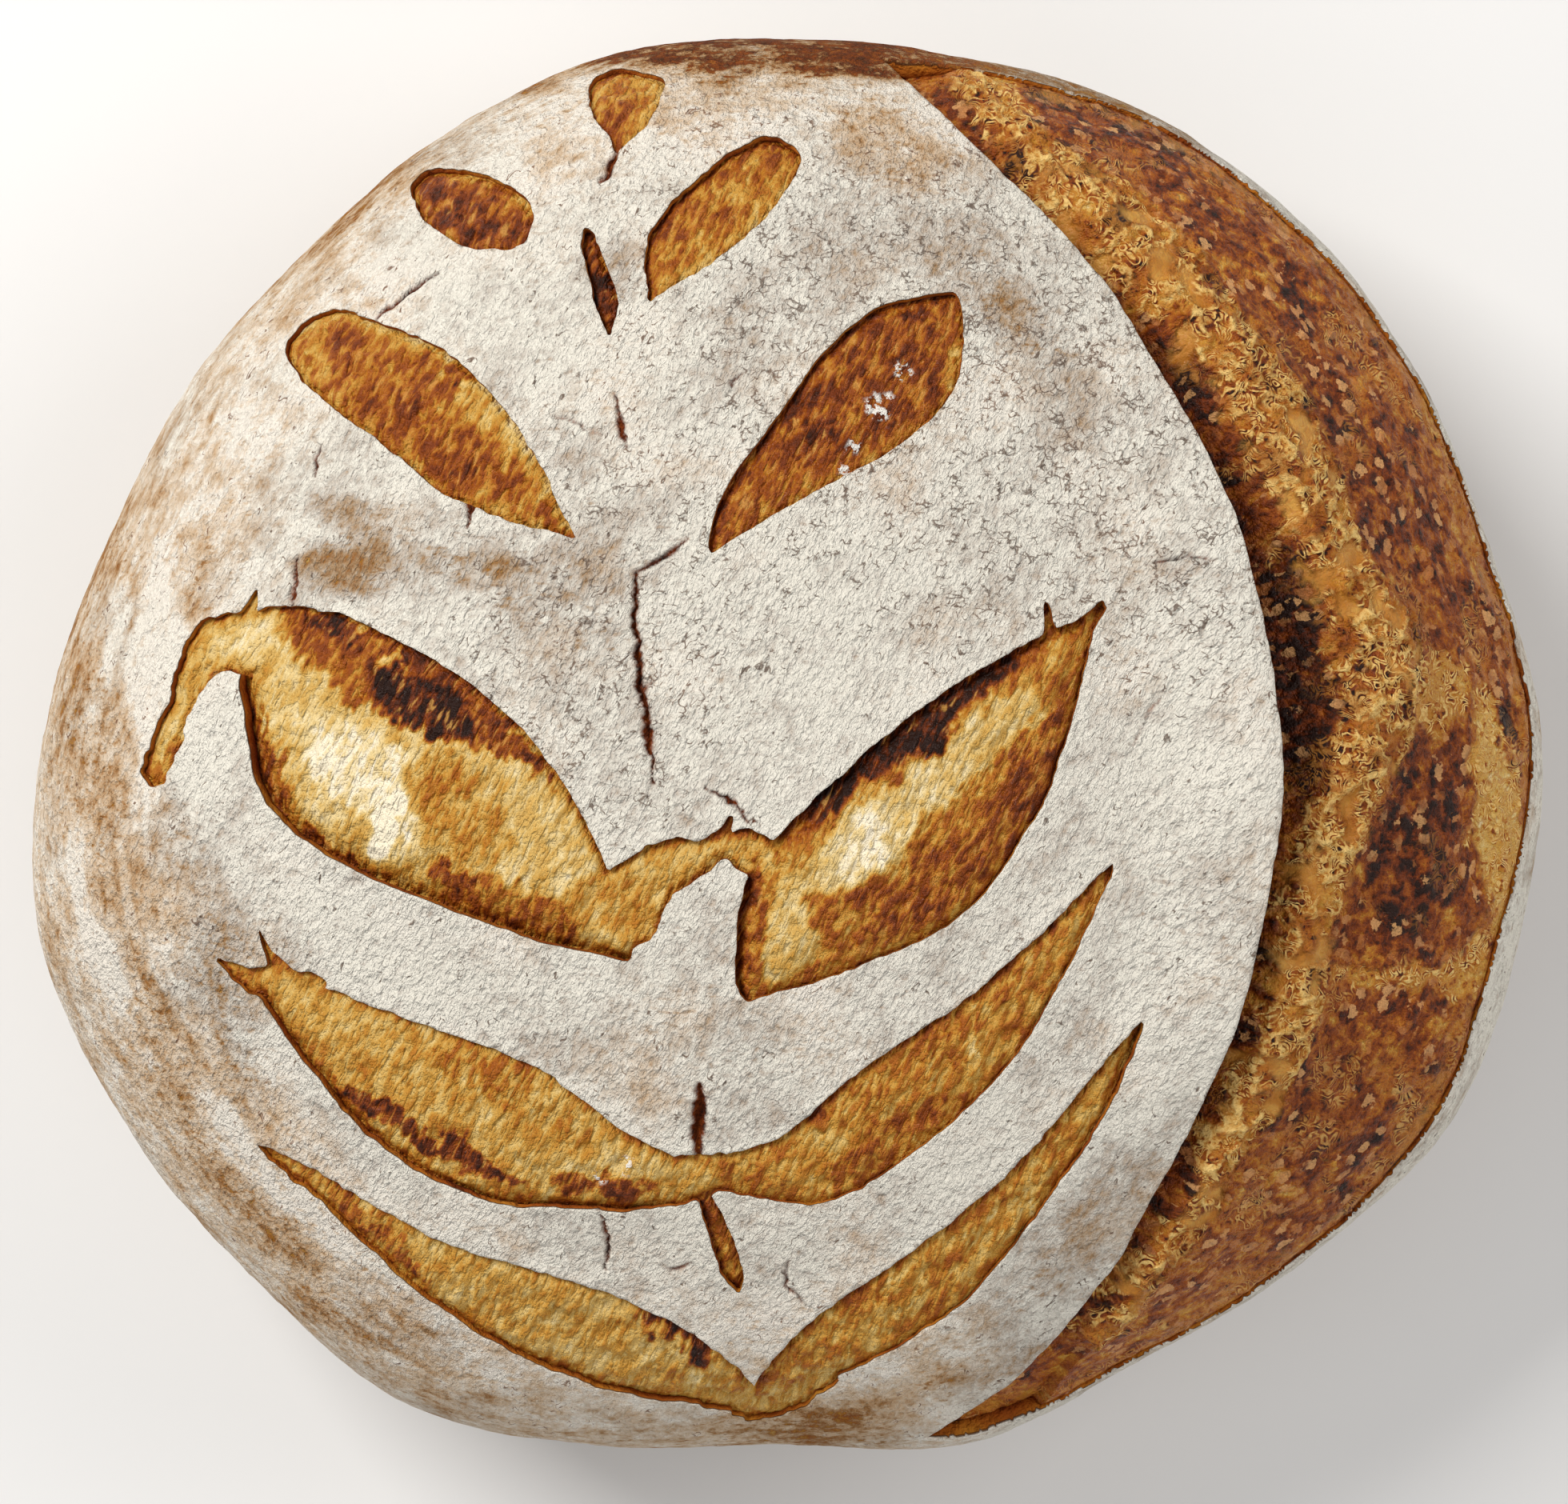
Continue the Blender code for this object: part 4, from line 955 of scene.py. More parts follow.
BAKE_STOPS = (
    (0.00, linear(244, 231, 202)), (0.10, linear(228, 203, 146)), (0.20, linear(212, 175, 100)), (0.31, linear(197, 147, 62)), (0.42, linear(181, 119, 37)),
    (0.53, linear(164, 93, 25)), (0.64, linear(142, 70, 18)), (0.76, linear(114, 50, 15)), (0.88, linear(80, 34, 13)), (1.00, linear(40, 21, 14)),
)
WARM_STOPS = (
    (0.00, linear(112, 64, 32)), (0.12, linear(147, 103, 60)), (0.24, linear(174, 135, 94)), (0.38, linear(194, 163, 129)),
    (0.54, linear(208, 184, 156)), (0.74, linear(222, 205, 184)), (0.95, linear(235, 226, 212)),
)
COOL_STOPS = (
    (0.00, linear(112, 66, 38)), (0.12, linear(145, 106, 70)), (0.24, linear(161, 129, 94)), (0.38, linear(176, 154, 130)),
    (0.54, linear(190, 176, 160)), (0.74, linear(209, 201, 188)), (0.95, linear(230, 224, 210)),
)


def swirl(s, at, size, amount):
    """Coordinates pushed about by a noise, so that patterns laid on them wander."""
    made = s.node("ShaderNodeTexNoise")
    s.link(at, made.inputs["Vector"])
    made.inputs["Scale"].default_value = 1.0 / size
    made.inputs["Detail"].default_value = 2.0
    off = s.node("ShaderNodeVectorMath", operation="MULTIPLY_ADD")
    s.link(made.outputs["Color"], off.inputs[0])
    off.inputs[1].default_value = (amount, amount, amount)
    s.link(at, off.inputs[2])
    return off.outputs[0]


def crumb_material():
    s = Shader("baked_crumb")
    at = s.place((1.0, 1.0, 0.6))
    fibre = s.attribute("fibre", vector=True)
    round_ = s.attribute("round", vector=True)
    torn, flaky, leafy, window, strands = (s.attribute(name) for name in ("torn", "flaky", "leafy", "window", "strands"))
    level = s.attribute("bake")
    fine = s.noise(at, 1.2, 3.0, 0.62)
    mid = s.attribute("mid")
    threads = s.noise(fibre, 1.0, 2.0, 0.58, 0.3)
    strokes = s.span(threads, 0.40, 0.60, -1.0, 1.0)
    rough = s.math("SUBTRACT", 1.0, s.math("MULTIPLY", window, 0.60))
    # the blistered crust is a mosaic of small drawn-out scales, each baked a little differently
    drawn = swirl(s, s.place((0.50, 0.50, 0.65), round_), 1.4, 1.1)
    grains = s.voronoi(drawn, 1.5)
    veins = s.noise(drawn, 1.2, 3.0, 0.62)
    level = s.math("ADD", level, s.math("MULTIPLY", s.math("SUBTRACT", fine, 0.5), s.math("ADD", s.span(s.attribute("bake"), 0.15, 0.55, 0.16, 0.40), s.math("MULTIPLY", torn, 0.30))))
    level = s.math("ADD", level, s.math("MULTIPLY", s.math("SUBTRACT", mid, 0.5), s.math("SUBTRACT", 0.90, s.math("MULTIPLY", leafy, s.span(s.attribute("bake"), 0.20, 0.56, 0.66, 0.10)))))
    level = s.math("ADD", level, s.math("MULTIPLY", s.math("MULTIPLY", strokes, leafy), s.span(s.attribute("bake"), 0.15, 0.50, 0.05, 0.12)))
    level = s.math("ADD", level, s.math("MULTIPLY", s.math("SUBTRACT", veins, 0.5), s.math("MULTIPLY", flaky, 1.25)))
    level = s.math("ADD", level, s.math("MULTIPLY", s.math("SUBTRACT", grains.outputs["Color"], 0.5), s.math("MULTIPLY", flaky, 0.26)))
    # dark pits between the strands
    pits = s.math("MULTIPLY", s.span(fine, 0.54, 0.64), s.math("MULTIPLY", torn, rough))
    level = s.math("ADD", level, s.math("MULTIPLY", pits, 0.26), clamp=True)
    colour = s.ramp(level, BAKE_STOPS)
    # pale streaks along the fibres of the leaves' floors: painted highlight
    colour = s.mix(s.math("MULTIPLY", s.math("MULTIPLY", s.span(threads, 0.30, 0.42, 1.0, 0.0), leafy), s.span(level, 0.30, 0.58, 0.0, 0.50)), colour, linear(222, 168, 84))
    # between the strands the torn crumb is stretched thin and yellow
    glow = s.mix(s.span(mid, 0.38, 0.62), linear(174, 112, 36), linear(208, 156, 72))
    colour = s.mix(s.math("MULTIPLY", window, 0.80), colour, glow)
    # curly strands of torn crumb
    bends = s.noise(at, 2.6, 1.0, 0.6, 0.8)
    web = s.span(s.math("ABSOLUTE", s.math("SUBTRACT", bends, 0.49)), 0.014, 0.052, 1.0, 0.0)
    web = s.math("MAXIMUM", web, s.span(s.math("ABSOLUTE", s.math("SUBTRACT", bends, 0.61)), 0.012, 0.044, 1.0, 0.0))
    web = s.math("MAXIMUM", web, s.span(s.math("ABSOLUTE", s.math("SUBTRACT", bends, 0.38)), 0.012, 0.044, 1.0, 0.0))
    web = s.math("MAXIMUM", web, s.math("MULTIPLY", s.span(strands, 0.35, 0.80), 0.85))
    web = s.math("MULTIPLY", s.math("MULTIPLY", web, s.span(mid, 0.38, 0.52, 0.35, 1.0)), s.math("MULTIPLY", torn, rough))
    web = s.math("MULTIPLY", web, s.math("MULTIPLY", s.span(fine, 0.34, 0.46, 0.45, 1.0), s.span(s.attribute("bake"), 0.64, 0.88, 1.0, 0.40)))
    pale = s.mix(s.span(fine, 0.35, 0.65), linear(192, 138, 56), linear(236, 200, 124))
    colour = s.mix(s.span(web, 0.0, 0.45, 0.0, 0.75), colour, linear(176, 112, 42))
    colour = s.mix(s.span(web, 0.30, 0.85, 0.0, 0.86), colour, pale)
    # flakes of thin blistered crust, drawn out along the crescent
    near = s.math("ADD", grains.outputs["Distance"], s.math("MULTIPLY", s.math("SUBTRACT", s.math("ADD", fine, veins), 1.0), 0.8))
    flake = s.math("MULTIPLY", s.span(near, 0.34, 0.42, 1.0, 0.0), s.span(grains.outputs["Color"], 0.42, 0.47))
    flake = s.math("MULTIPLY", s.math("MULTIPLY", flake, flaky), s.span(mid, 0.38, 0.52, 0.3, 1.0))
    tan = s.mix(s.span(grains.outputs["Color"], 0.42, 0.75), linear(178, 110, 56), linear(224, 168, 108))
    colour = s.mix(s.math("MULTIPLY", flake, 0.72), colour, tan)
    dust = s.math("MULTIPLY", s.attribute("dusted"), s.span(fine, 0.50, 0.54))
    colour = s.mix(dust, colour, linear(232, 226, 216))
    s.link(colour, s.principled.inputs["Base Color"])
    s.link(s.span(fine, 0.35, 0.65, 0.28, 0.58), s.principled.inputs["Roughness"])
    s.principled.inputs["Specular IOR Level"].default_value = 0.17
    height = s.math("MULTIPLY", s.math("MULTIPLY", fine, 0.9), rough)
    height = s.math("ADD", height, s.math("MULTIPLY", s.math("MULTIPLY", threads, leafy), 1.0))
    height = s.math("ADD", height, s.math("MULTIPLY", s.math("MULTIPLY", veins, flaky), 0.8))
    s.link(s.bump(height, 0.0015, 1.0), s.principled.inputs["Normal"])
    return s.material


def skin_material():
    s = Shader("floured_skin")
    at = s.place()
    cover = s.attribute("flour")
    dry = s.attribute("dry")
    round_ = s.attribute("round", vector=True)
    streaks = s.noise(round_, 2.4, 1.0, 0.6)
    patchy = s.attribute("patchy")
    bent = swirl(s, at, 0.9, 0.9)
    clump = s.noise(bent, 2.3, 2.0, 0.6)
    lean = s.attribute("lean", vector=True)
    grain = s.noise(lean, 0.95, 3.0, 0.70)
    # crackle: where the dried skin pulled apart into small plates
    plates = s.voronoi(s.place((0.75, 1.25, 1.0), bent), 1.35, "DISTANCE_TO_EDGE").outputs["Distance"]
    broken = s.noise(at, 2.2, 3.0, 0.65)
    wide = s.span(clump, 0.40, 0.62, 0.05, 0.17)
    gaps = s.math("MULTIPLY", s.span(plates, 0.0, wide, 1.0, 0.0), s.span(broken, s.span(dry, 0.0, 1.0, 0.66, 0.49), s.span(dry, 0.0, 1.0, 0.74, 0.57)))
    # short dark nicks: partly tiny cracks, partly painted shade of small nicks
    nicks_and_shade = s.span(s.math("ABSOLUTE", s.math("SUBTRACT", s.noise(lean, 1.7, 1.0, 0.5, 0.6), 0.5)), 0.006, 0.024, 1.0, 0.0)
    nicks_and_shade = s.math("MULTIPLY", nicks_and_shade, s.span(clump, s.span(dry, 0.0, 1.0, 0.60, 0.53), s.span(dry, 0.0, 1.0, 0.66, 0.59)))
    gaps = s.math("MAXIMUM", gaps, nicks_and_shade)
    # small slanting dents, drawn only as darker flour: painted shade
    dent_shade = s.math("MULTIPLY", s.span(s.noise(s.place((0.8, 2.0, 1.4), at), 1.5, 1.0, 0.55), 0.56, 0.66), s.span(patchy, 0.40, 0.58))
    amount = s.math("ADD", cover, s.math("MULTIPLY", s.math("SUBTRACT", patchy, 0.5), 1.25))
    amount = s.math("ADD", amount, s.math("MULTIPLY", s.math("SUBTRACT", clump, 0.5), 0.80))
    amount = s.math("ADD", amount, s.math("MULTIPLY", s.math("SUBTRACT", grain, 0.5), 0.95))
    amount = s.math("ADD", amount, s.math("MULTIPLY", s.math("SUBTRACT", streaks, 0.5), s.attribute("streaky")))
    amount = s.math("SUBTRACT", amount, s.math("MULTIPLY", dent_shade, 0.22))
    thick = s.math("MULTIPLY", amount, 1.0, clamp=True)
    hue = s.attribute("warm")
    colour = s.mix(hue, s.ramp(thick, COOL_STOPS), s.ramp(thick, WARM_STOPS))
    # the crackle and the nicks take a dark colour: the cracks show the crust, the nicks are partly painted shade
    colour = s.mix(s.math("MULTIPLY", gaps, 0.86), colour, s.mix(hue, linear(96, 76, 62), linear(122, 82, 54)))
    brown = s.ramp(s.math("ADD", s.attribute("bake"), s.math("ADD", s.math("MULTIPLY", s.math("SUBTRACT", grain, 0.5), 1.0), s.math("MULTIPLY", s.math("SUBTRACT", clump, 0.5), 1.0)), clamp=True), BAKE_STOPS)
    colour = s.mix(s.span(thick, 0.0, 0.16, 0.6, 0.0), colour, brown)
    # bare crust in the cracks and on the cut wall; down the wall it darkens as painted shade
    burnt_and_shaded = s.ramp(s.math("ADD", s.attribute("edge"), s.math("MULTIPLY", s.math("SUBTRACT", grain, 0.5), 0.8), clamp=True), BAKE_STOPS)
    colour = s.mix(s.attribute("bare"), colour, burnt_and_shaded)
    s.link(colour, s.principled.inputs["Base Color"])
    s.principled.inputs["Roughness"].default_value = 0.94
    s.principled.inputs["Specular IOR Level"].default_value = 0.12
    height = s.math("ADD", s.math("MULTIPLY", grain, 0.66), s.math("MULTIPLY", broken, 0.60))
    s.link(s.bump(height, 0.0026, 1.0), s.principled.inputs["Normal"])
    return s.material


# ---- the map and its openings ----
axis, opening_grid, crack_grid, detail_grid = field_grid()
edge_points, edge_pairs = zero_edges(axis, opening_grid)


def opening_at(x, y):
    return read(axis, opening_grid, x, y, -20.0)


def crack_at(x, y):
    return read(axis, crack_grid, x, y, 99.0)


# ---- skin ----
def skin_spacing(x, y):
    g, m = -opening_at(x, y), np.hypot(x, y)
    near = np.minimum(g, crack_at(x, y) * 1.3)
    s = np.interp(near, (0.0, 1.0, 2.5, 6.0), (FINEST * 1.1, FINEST * 1.5, FINEST * 2.4, FINEST * 3.8))
    s = np.where(m > GIRTH_LENGTH - 4, np.interp(m, (GIRTH_LENGTH - 4, RIM_LENGTH), (1.5, 3.2)), s)
    s = np.where((m > GIRTH_LENGTH - 4) & (g < 3.0), np.interp(g, (0.0, 1.2, 3.0), (FINEST * 1.3, FINEST * 2.0, 1.5)), s)
    return np.where(g < 0.24, 99.0, s)


sx, sy = lattice(skin_spacing)
count_edge, count_rim = len(edge_points), RIM_COUNT
flat = np.concatenate([edge_points, rim_points, np.stack([sx, sy], -1)])
walls = np.concatenate([edge_pairs, rim_edges + count_edge])
tris = triangulate(flat, walls)
middle_of = flat[tris].mean(1)
area = 0.5 * np.abs(
    (flat[tris[:, 1], 0] - flat[tris[:, 0], 0]) * (flat[tris[:, 2], 1] - flat[tris[:, 0], 1])
    - (flat[tris[:, 1], 1] - flat[tris[:, 0], 1]) * (flat[tris[:, 2], 0] - flat[tris[:, 0], 0])
)
opened = regions(tris, walls, opening_at(middle_of[:, 0], middle_of[:, 1]) * area)
tris = tris[~opened]
spot = Spot(flat[:, 0], flat[:, 1])
outer = spot.skin()
rim_at = np.arange(count_edge, count_edge + count_rim)
outer[rim_at, 2] = 0.0

# the skin's cut edge: a rounded wall, then the hidden inner face
hole = boundary(tris)
is_rim = (hole[:, 0] >= count_edge) & (hole[:, 0] < count_edge + count_rim) & (hole[:, 1] >= count_edge) & (hole[:, 1] < count_edge + count_rim)
rim_hole, hole = hole[is_rim], hole[~is_rim]
lip = np.unique(hole)
number = np.full(len(flat), -1)
number[lip] = np.arange(len(lip))
gx = (opening_at(flat[lip, 0] + 0.3, flat[lip, 1]) - opening_at(flat[lip, 0] - 0.3, flat[lip, 1]))
gy = (opening_at(flat[lip, 0], flat[lip, 1] + 0.3) - opening_at(flat[lip, 0], flat[lip, 1] - 0.3))
g_size = np.maximum(np.hypot(gx, gy), 1e-9)
gx, gy = gx / g_size, gy / g_size
# the way into the opening, on the loaf: how the surface moves when the map's point moves that way
ahead = Spot(flat[lip, 0] + 0.5 * gx, flat[lip, 1] + 0.5 * gy).p - spot.p[lip]
ahead /= np.maximum(np.linalg.norm(ahead, axis=1), 1e-9)[:, None]
down = -spot.facing[lip]
lip_spot = Spot(flat[lip, 0], flat[lip, 1])
lip_spot.crumb()
rise = ((outer[lip] - spot.p[lip]) * spot.facing[lip]).sum(1)
edge_thick = np.maximum(rise - lip_spot.relief() + lip_spot.sink + 0.45, 0.7)
hanging = spot.ear[lip] * (spot.burst[lip] > spot.inner[lip]) * (spot.root[lip] < spot.over_foot[lip])
edge_thick = edge_thick + hanging * (EAR_THICK * (1.0 - 0.3 * smooth(np.abs(noise(spot.p[lip], 6.0, 81)))) - edge_thick)
ring1 = outer[lip] + down * ((0.12 + 0.14 * hanging) * edge_thick)[:, None] + ahead * (0.03 + 0.22 * hanging)[:, None]
ring2 = outer[lip] + down * ((0.50 + 0.20 * hanging) * edge_thick)[:, None] + ahead * (0.06 + 0.14 * hanging)[:, None]
ring3 = outer[lip] + down * edge_thick[:, None] - ahead * 0.35

coarse_x, coarse_y = lattice(lambda x, y: np.where(-opening_at(x, y) < 4.0, 99.0, 8.0))
inner_flat = np.concatenate([flat[lip], flat[rim_at], np.stack([coarse_x, coarse_y], -1)])
inner_walls = np.concatenate([number[hole], rim_edges + len(lip)])
inner_tris = triangulate(inner_flat, inner_walls)
inner_mid = inner_flat[inner_tris].mean(1)
inner_area = 0.5 * np.abs(
    (inner_flat[inner_tris[:, 1], 0] - inner_flat[inner_tris[:, 0], 0]) * (inner_flat[inner_tris[:, 2], 1] - inner_flat[inner_tris[:, 0], 1])
    - (inner_flat[inner_tris[:, 1], 1] - inner_flat[inner_tris[:, 0], 1]) * (inner_flat[inner_tris[:, 2], 0] - inner_flat[inner_tris[:, 0], 0])
)
inner_open = regions(inner_tris, inner_walls, opening_at(inner_mid[:, 0], inner_mid[:, 1]) * inner_area)
inner_tris = inner_tris[~inner_open]
coarse = Spot(coarse_x, coarse_y)
inner_coarse = coarse.skin() - coarse.facing * SKIN
inner_rim = outer[rim_at] * np.array([0.97, 0.97, 1.0]) + np.array([0.0, 0.0, SKIN])

n_flat, n_lip = len(flat), len(lip)
base_in, base_tris = base_disc(outer[rim_at])
parts = [outer, ring1, ring2, ring3, inner_rim, inner_coarse, base_in]
starts = np.concatenate([[0], np.cumsum([len(q) for q in parts])])
all_points = np.concatenate(parts)


def strip(a, b, pairs):
    """Two triangles for each directed boundary edge between ring a and ring b."""
    p, q = pairs[:, 0], pairs[:, 1]
    return np.concatenate([np.stack([a[q], a[p], b[p]], -1), np.stack([a[q], b[p], b[q]], -1)])


first = np.arange(n_flat)
r1 = np.full(n_flat, -1)
r1[lip] = starts[1] + np.arange(n_lip)
r2 = np.where(r1 >= 0, r1 + n_lip, -1)
r3 = np.where(r1 >= 0, r1 + 2 * n_lip, -1)
inner_index = np.concatenate([starts[3] + np.arange(n_lip), starts[4] + np.arange(count_rim), starts[5] + np.arange(len(coarse_x))])
# the base closes the outer face, and a coarse cap closes the hidden inner face
base_index = np.concatenate([rim_at, starts[6] + np.arange(len(base_in))])
cap_middle = len(all_points)
all_points = np.concatenate([all_points, [inner_rim.mean(0)]])
cap = np.stack([np.full(count_rim, cap_middle), starts[4] + rim_edges[:, 0], starts[4] + rim_edges[:, 1]], -1)
all_tris = np.concatenate([
    tris, strip(first, r1, hole), strip(r1, r2, hole), strip(r2, r3, hole),
    inner_index[inner_tris][:, ::-1], base_index[base_tris], cap,
])
used = np.unique(all_tris)
renumber = np.full(len(all_points), -1)
renumber[used] = np.arange(len(used))
all_tris = renumber[all_tris]

uv = np.zeros((len(all_points), 2))
uv[:n_flat] = disc_uv(flat[:, 0], flat[:, 1])
for k, off in enumerate((0.25, 0.5, 0.8)):
    at_ = slice(starts[1 + k], starts[2 + k])
    uv[at_] = disc_uv(flat[lip, 0] + off * gx, flat[lip, 1] + off * gy)
uv[starts[4]:starts[5]] = disc_uv(flat[rim_at, 0], flat[rim_at, 1], 0.06, 0.05, (0.065, 0.065))
uv[starts[5]:starts[6]] = disc_uv(coarse_x, coarse_y, 0.06, 0.05, (0.065, 0.065))
uv[starts[6]:starts[7]] = np.array([0.93, 0.07]) + base_in[:, :2] / 1500.0
uv[cap_middle] = (0.065, 0.065)


def spread(values, lip_value, other=0.0, ndim=0):
    out = np.full((len(all_points), 3) if ndim else len(all_points), other, float)
    out[:n_flat] = values
    for k in range(3):
        out[starts[1 + k]:starts[2 + k]] = lip_value[k] if isinstance(lip_value, (list, tuple)) else lip_value
    return out


cover = flour_cover(spot)
bare = smooth(spot.crack_sink / 0.55)
edge = 0.84 + 0.12 * noise(spot.p, 5.0, 83)
dry = 0.30 + 0.70 * blob(spot.u, spot.v, (30, 50), 62, 36, -35)
dry = np.maximum(dry, 0.75 * blob(spot.u, spot.v, (-20, 20), 50, 26, 60)) * (spot.m < GIRTH_LENGTH)
share_out = np.hypot(spot.p[:, 0], spot.p[:, 1]) / outline(spot.theta)
streaky = 0.4 + 0.4 * smooth((share_out - 0.68) / 0.2) * (1 - smooth(spot.u / 20.0)) * (1 - smooth((spot.m - GIRTH_LENGTH) / 10.0))
streaky = streaky * smooth((share_out - 0.55) / 0.3)
below = 0.58 + 0.08 * noise(spot.p, 18.0, 85) + 0.12 * smooth((spot.m - GIRTH_LENGTH) / 40.0)
below = below + 0.22 * blob(spot.u, spot.v, (-5, 102), 34, 6, 0)
round_map = np.stack([np.cos(spot.theta) * 108.0 / 3.0, np.sin(spot.theta) * 108.0 / 3.0, spot.m], -1)
lean_map = np.stack([
    (spot.u * math.cos(LEAN) + spot.v * math.sin(LEAN)) / 2.2, spot.v * math.cos(LEAN) - spot.u * math.sin(LEAN), spot.p[:, 2],
], -1)
# the skin's cut wall: baked crust, drawn darker ring by ring down into the opening as painted shade
wall_level = 0.54 + 0.20 * noise(spot.p[lip], 6.0, 87)
warm = np.maximum(smooth((share_out - 0.70) / 0.15) * (1 - smooth((spot.u - 20.0) / 20.0)), smooth((spot.m - GIRTH_LENGTH + 8.0) / 8.0))
skin_attributes = {
    "flour": spread(cover, 0.0, 0.25),
    "edge": spread(edge, [wall_level, wall_level + 0.06, wall_level + 0.14], 0.6),
    "bare": spread(np.clip(bare, 0, 1), [0.9, 1.0, 1.0], 0.0),
    "warm": spread(np.clip(warm + 1.3 * layered(spot.p, 14.0, 115, 2, 0.55), 0, 1), 1.0, 1.0),
    "patchy": spread(0.5 + 0.42 * layered(spot.p, 8.0, 113, 3, 0.62), 0.5, 0.5),
    "dry": spread(dry, 0.0, 0.0),
    "streaky": spread(streaky, 0.0, 0.3),
    "bake": spread(below, 0.75, 0.58),
    "round": spread(round_map, 0.0, 0.0, 1),
    "lean": spread(lean_map, 0.0, 0.0, 1),
}
skin = make_piece(
    "skin", all_points[used] - np.array([MIDDLE[0], MIDDLE[1], 0.0]), all_tris, uv[used],
    {key: values[used] for key, values in skin_attributes.items()}, skin_material(),
)
print("skin", len(all_points), "points", len(all_tris), "triangles")


# ---- crumb ----
def crumb_spacing(x, y):
    g, m = opening_at(x, y), np.hypot(x, y)
    detail = read(axis, detail_grid, x, y, 0.0)
    s = np.where(detail > 0.15, FINEST_CRUMB, FINEST_CRUMB * 2)
    s = np.where(g < 1.6, FINEST_CRUMB, s)
    s = np.where(g < -0.8, np.interp(g, (-2.4, -0.8), (6.0, FINEST_CRUMB * 1.5)), s)
    return np.where(m > GIRTH_LENGTH + 14, 7.0, s)


cx, cy = lattice(crumb_spacing, FINEST_CRUMB)
crumb_rim = (RIM_LENGTH - 4.0) / RIM_LENGTH * rim_points
inside = np.hypot(cx, cy) < RIM_LENGTH - 6.0
cx, cy = cx[inside], cy[inside]
flat = np.concatenate([crumb_rim, np.stack([cx, cy], -1)])
tris = triangulate(flat, rim_edges)
body = Spot(flat[:, 0], flat[:, 1])
points = body.crumb()
points[:RIM_COUNT, 2] = 2.0
points[:, 2] = np.maximum(points[:, 2], 2.0)
base_in, base_tris = base_disc(points[:RIM_COUNT])
base_in[:, 2] = 2.0
base_index = np.concatenate([np.arange(RIM_COUNT), len(flat) + np.arange(len(base_in))])
all_points = np.concatenate([points, base_in])
all_tris = np.concatenate([tris, base_index[base_tris]])
# the crumb's bake level, which also holds the painted highlights and the painted shade along the openings' edges
level = np.concatenate([bake_and_painted_light(body), np.full(len(base_in), 0.6)])
in_burst = smooth(body.burst / 1.0)
torn = np.clip(body.golden + 0.5 * np.exp(-(((body.over_foot - 2.5) / 2.5) ** 2)), 0, 1)
torn = np.maximum(torn, 0.6 * smooth((layered(body.p, 9.0, 101, 2) - 0.06) / 0.24))
torn = np.maximum(torn, smooth((0.58 - level[: len(flat)]) / 0.12))
flaky = in_burst * (1 - torn) * np.interp(level[: len(flat)], (0.45, 0.62, 0.90, 1.0), (0.1, 1.0, 1.0, 0.3))
torn = in_burst * torn + (1 - in_burst) * 0.05
dusted = np.zeros(len(flat))
for su, sv, radius in SPECKS:
    off = np.hypot(body.u - su, body.v - sv) + 0.5 * noise(body.p, 1.4, 97)
    dusted = np.maximum(dusted, smooth((radius - off) / 0.5 + 0.5))
below_zeros = np.zeros(len(base_in))
crumb_uv = np.concatenate([disc_uv(flat[:, 0], flat[:, 1], 0.48, 0.46), np.array([0.93, 0.07]) + base_in[:, :2] / 1500.0])
crumb = make_piece(
    "crumb", all_points - np.array([MIDDLE[0], MIDDLE[1], 0.0]), all_tris, crumb_uv,
    {
        "bake": level,
        "torn": np.concatenate([torn, below_zeros]),
        "flaky": np.concatenate([flaky, below_zeros]),
        "leafy": np.concatenate([1 - in_burst, below_zeros]),
        "window": np.concatenate([body.window, below_zeros]),
        "strands": np.concatenate([body.strands, below_zeros]),
        "mid": np.concatenate([0.5 + 0.42 * layered(body.p, 4.0, 111, 3, 0.6), below_zeros]),
        "dusted": np.concatenate([dusted, below_zeros]),
        "fibre": np.concatenate([body.fibre, base_in]),
        "round": np.concatenate([body.round, base_in]),
    },
    crumb_material(),
)
print("crumb", len(all_points), "points", len(all_tris), "triangles")

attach(skin, "root")
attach(crumb, "root")
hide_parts("loaf")

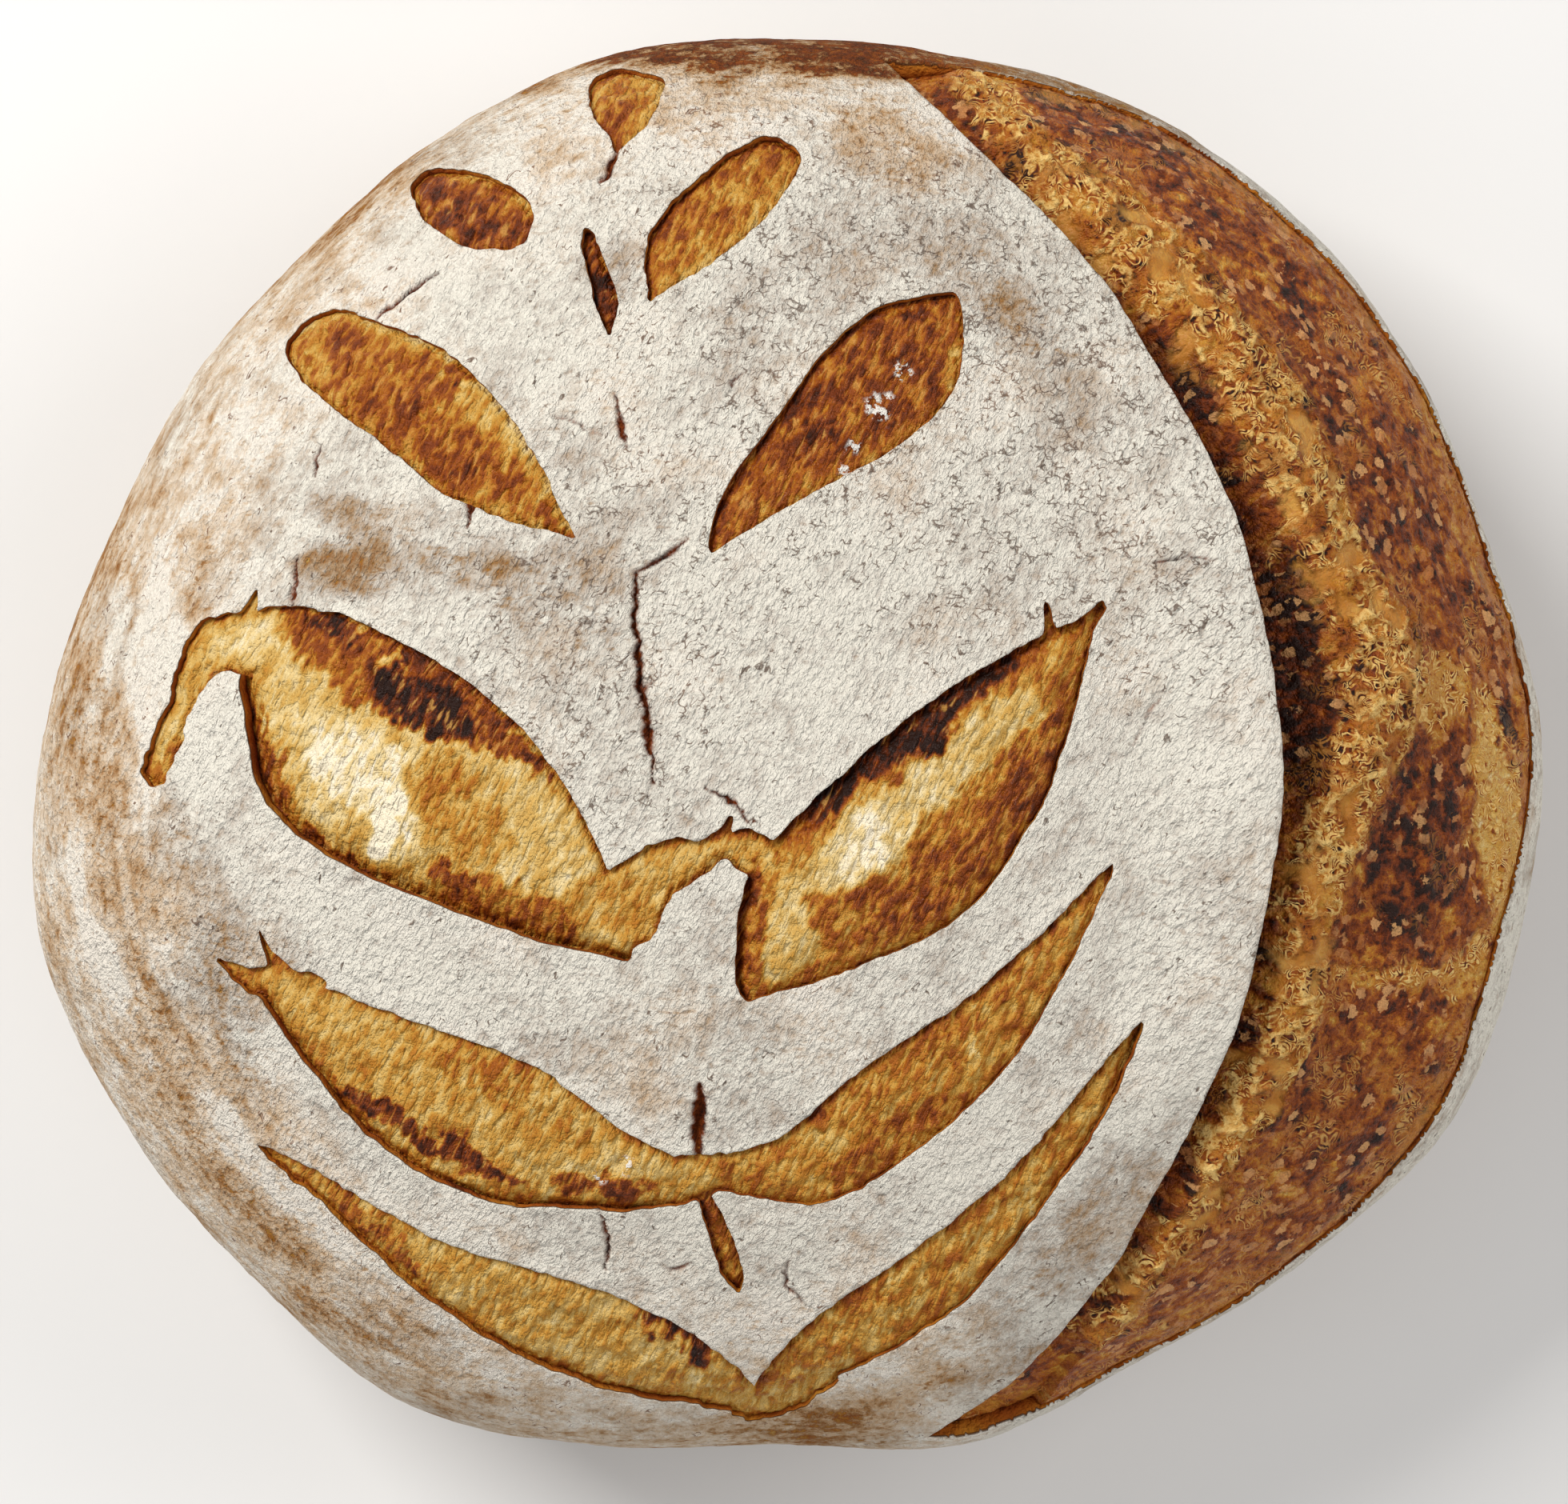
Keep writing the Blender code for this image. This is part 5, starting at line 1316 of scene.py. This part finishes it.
# ---- floor, light, camera ----
scene = bpy.context.scene
for old in [o for o in bpy.data.objects if o.type in ("LIGHT", "CAMERA") or o.name == "Cube"]:
    bpy.data.objects.remove(old, do_unlink=True)

bpy.ops.mesh.primitive_plane_add(size=8.0, location=(0.0, 0.0, -0.0002))
floor = bpy.context.object
floor.name = "floor"
ground = Shader("pale_floor")
ground.principled.inputs["Base Color"].default_value = (0.78, 0.77, 0.755, 1.0)
ground.principled.inputs["Roughness"].default_value = 0.85
floor.data.materials.append(ground.material)


def softbox(name, at, aim, size, watts, colour):
    lamp = bpy.data.lights.new(name, "AREA")
    lamp.shape = "RECTANGLE"
    lamp.size, lamp.size_y = size
    lamp.energy = watts
    lamp.color = colour
    obj = bpy.data.objects.new(name, lamp)
    obj.location = at
    obj.rotation_mode = "QUATERNION"
    obj.rotation_quaternion = (Vector(aim) - Vector(at)).to_track_quat("-Z", "Y")
    scene.collection.objects.link(obj)
    return obj


softbox("key", (-0.75, 0.65, 0.95), (0.0, 0.0, 0.05), (0.6, 0.6), 17.0, (1.0, 0.985, 0.96))
softbox("right", (1.05, 0.35, 0.80), (0.0, 0.0, 0.05), (0.8, 0.8), 6.5, (1.0, 0.99, 0.98))
softbox("front", (0.45, -1.0, 0.95), (0.0, 0.0, 0.05), (1.0, 1.0), 3.4, (1.0, 0.99, 0.98))
softbox("left", (-1.0, -0.55, 0.95), (0.0, 0.0, 0.05), (1.0, 1.0), 3.0, (1.0, 0.99, 0.98))
world = scene.world or bpy.data.worlds.new("studio")
scene.world = world
world.use_nodes = True
sky = world.node_tree.nodes["Background"]
sky.inputs["Color"].default_value = (0.96, 0.97, 1.0, 1.0)
sky.inputs["Strength"].default_value = 0.30

lens = bpy.data.cameras.new("camera")
lens.sensor_width = 36.0
lens.lens = 36.0 * (EYE - TRUE_AT) / (1960 * 0.118)
lens.clip_start, lens.clip_end = 0.01, 50.0
camera = bpy.data.objects.new("camera", lens)
camera.location = (-0.00047, -0.00106, EYE / 1000.0)
camera.rotation_euler = (0.0, 0.0, 0.0)
scene.collection.objects.link(camera)
scene.camera = camera
scene.view_settings.view_transform = "Standard"
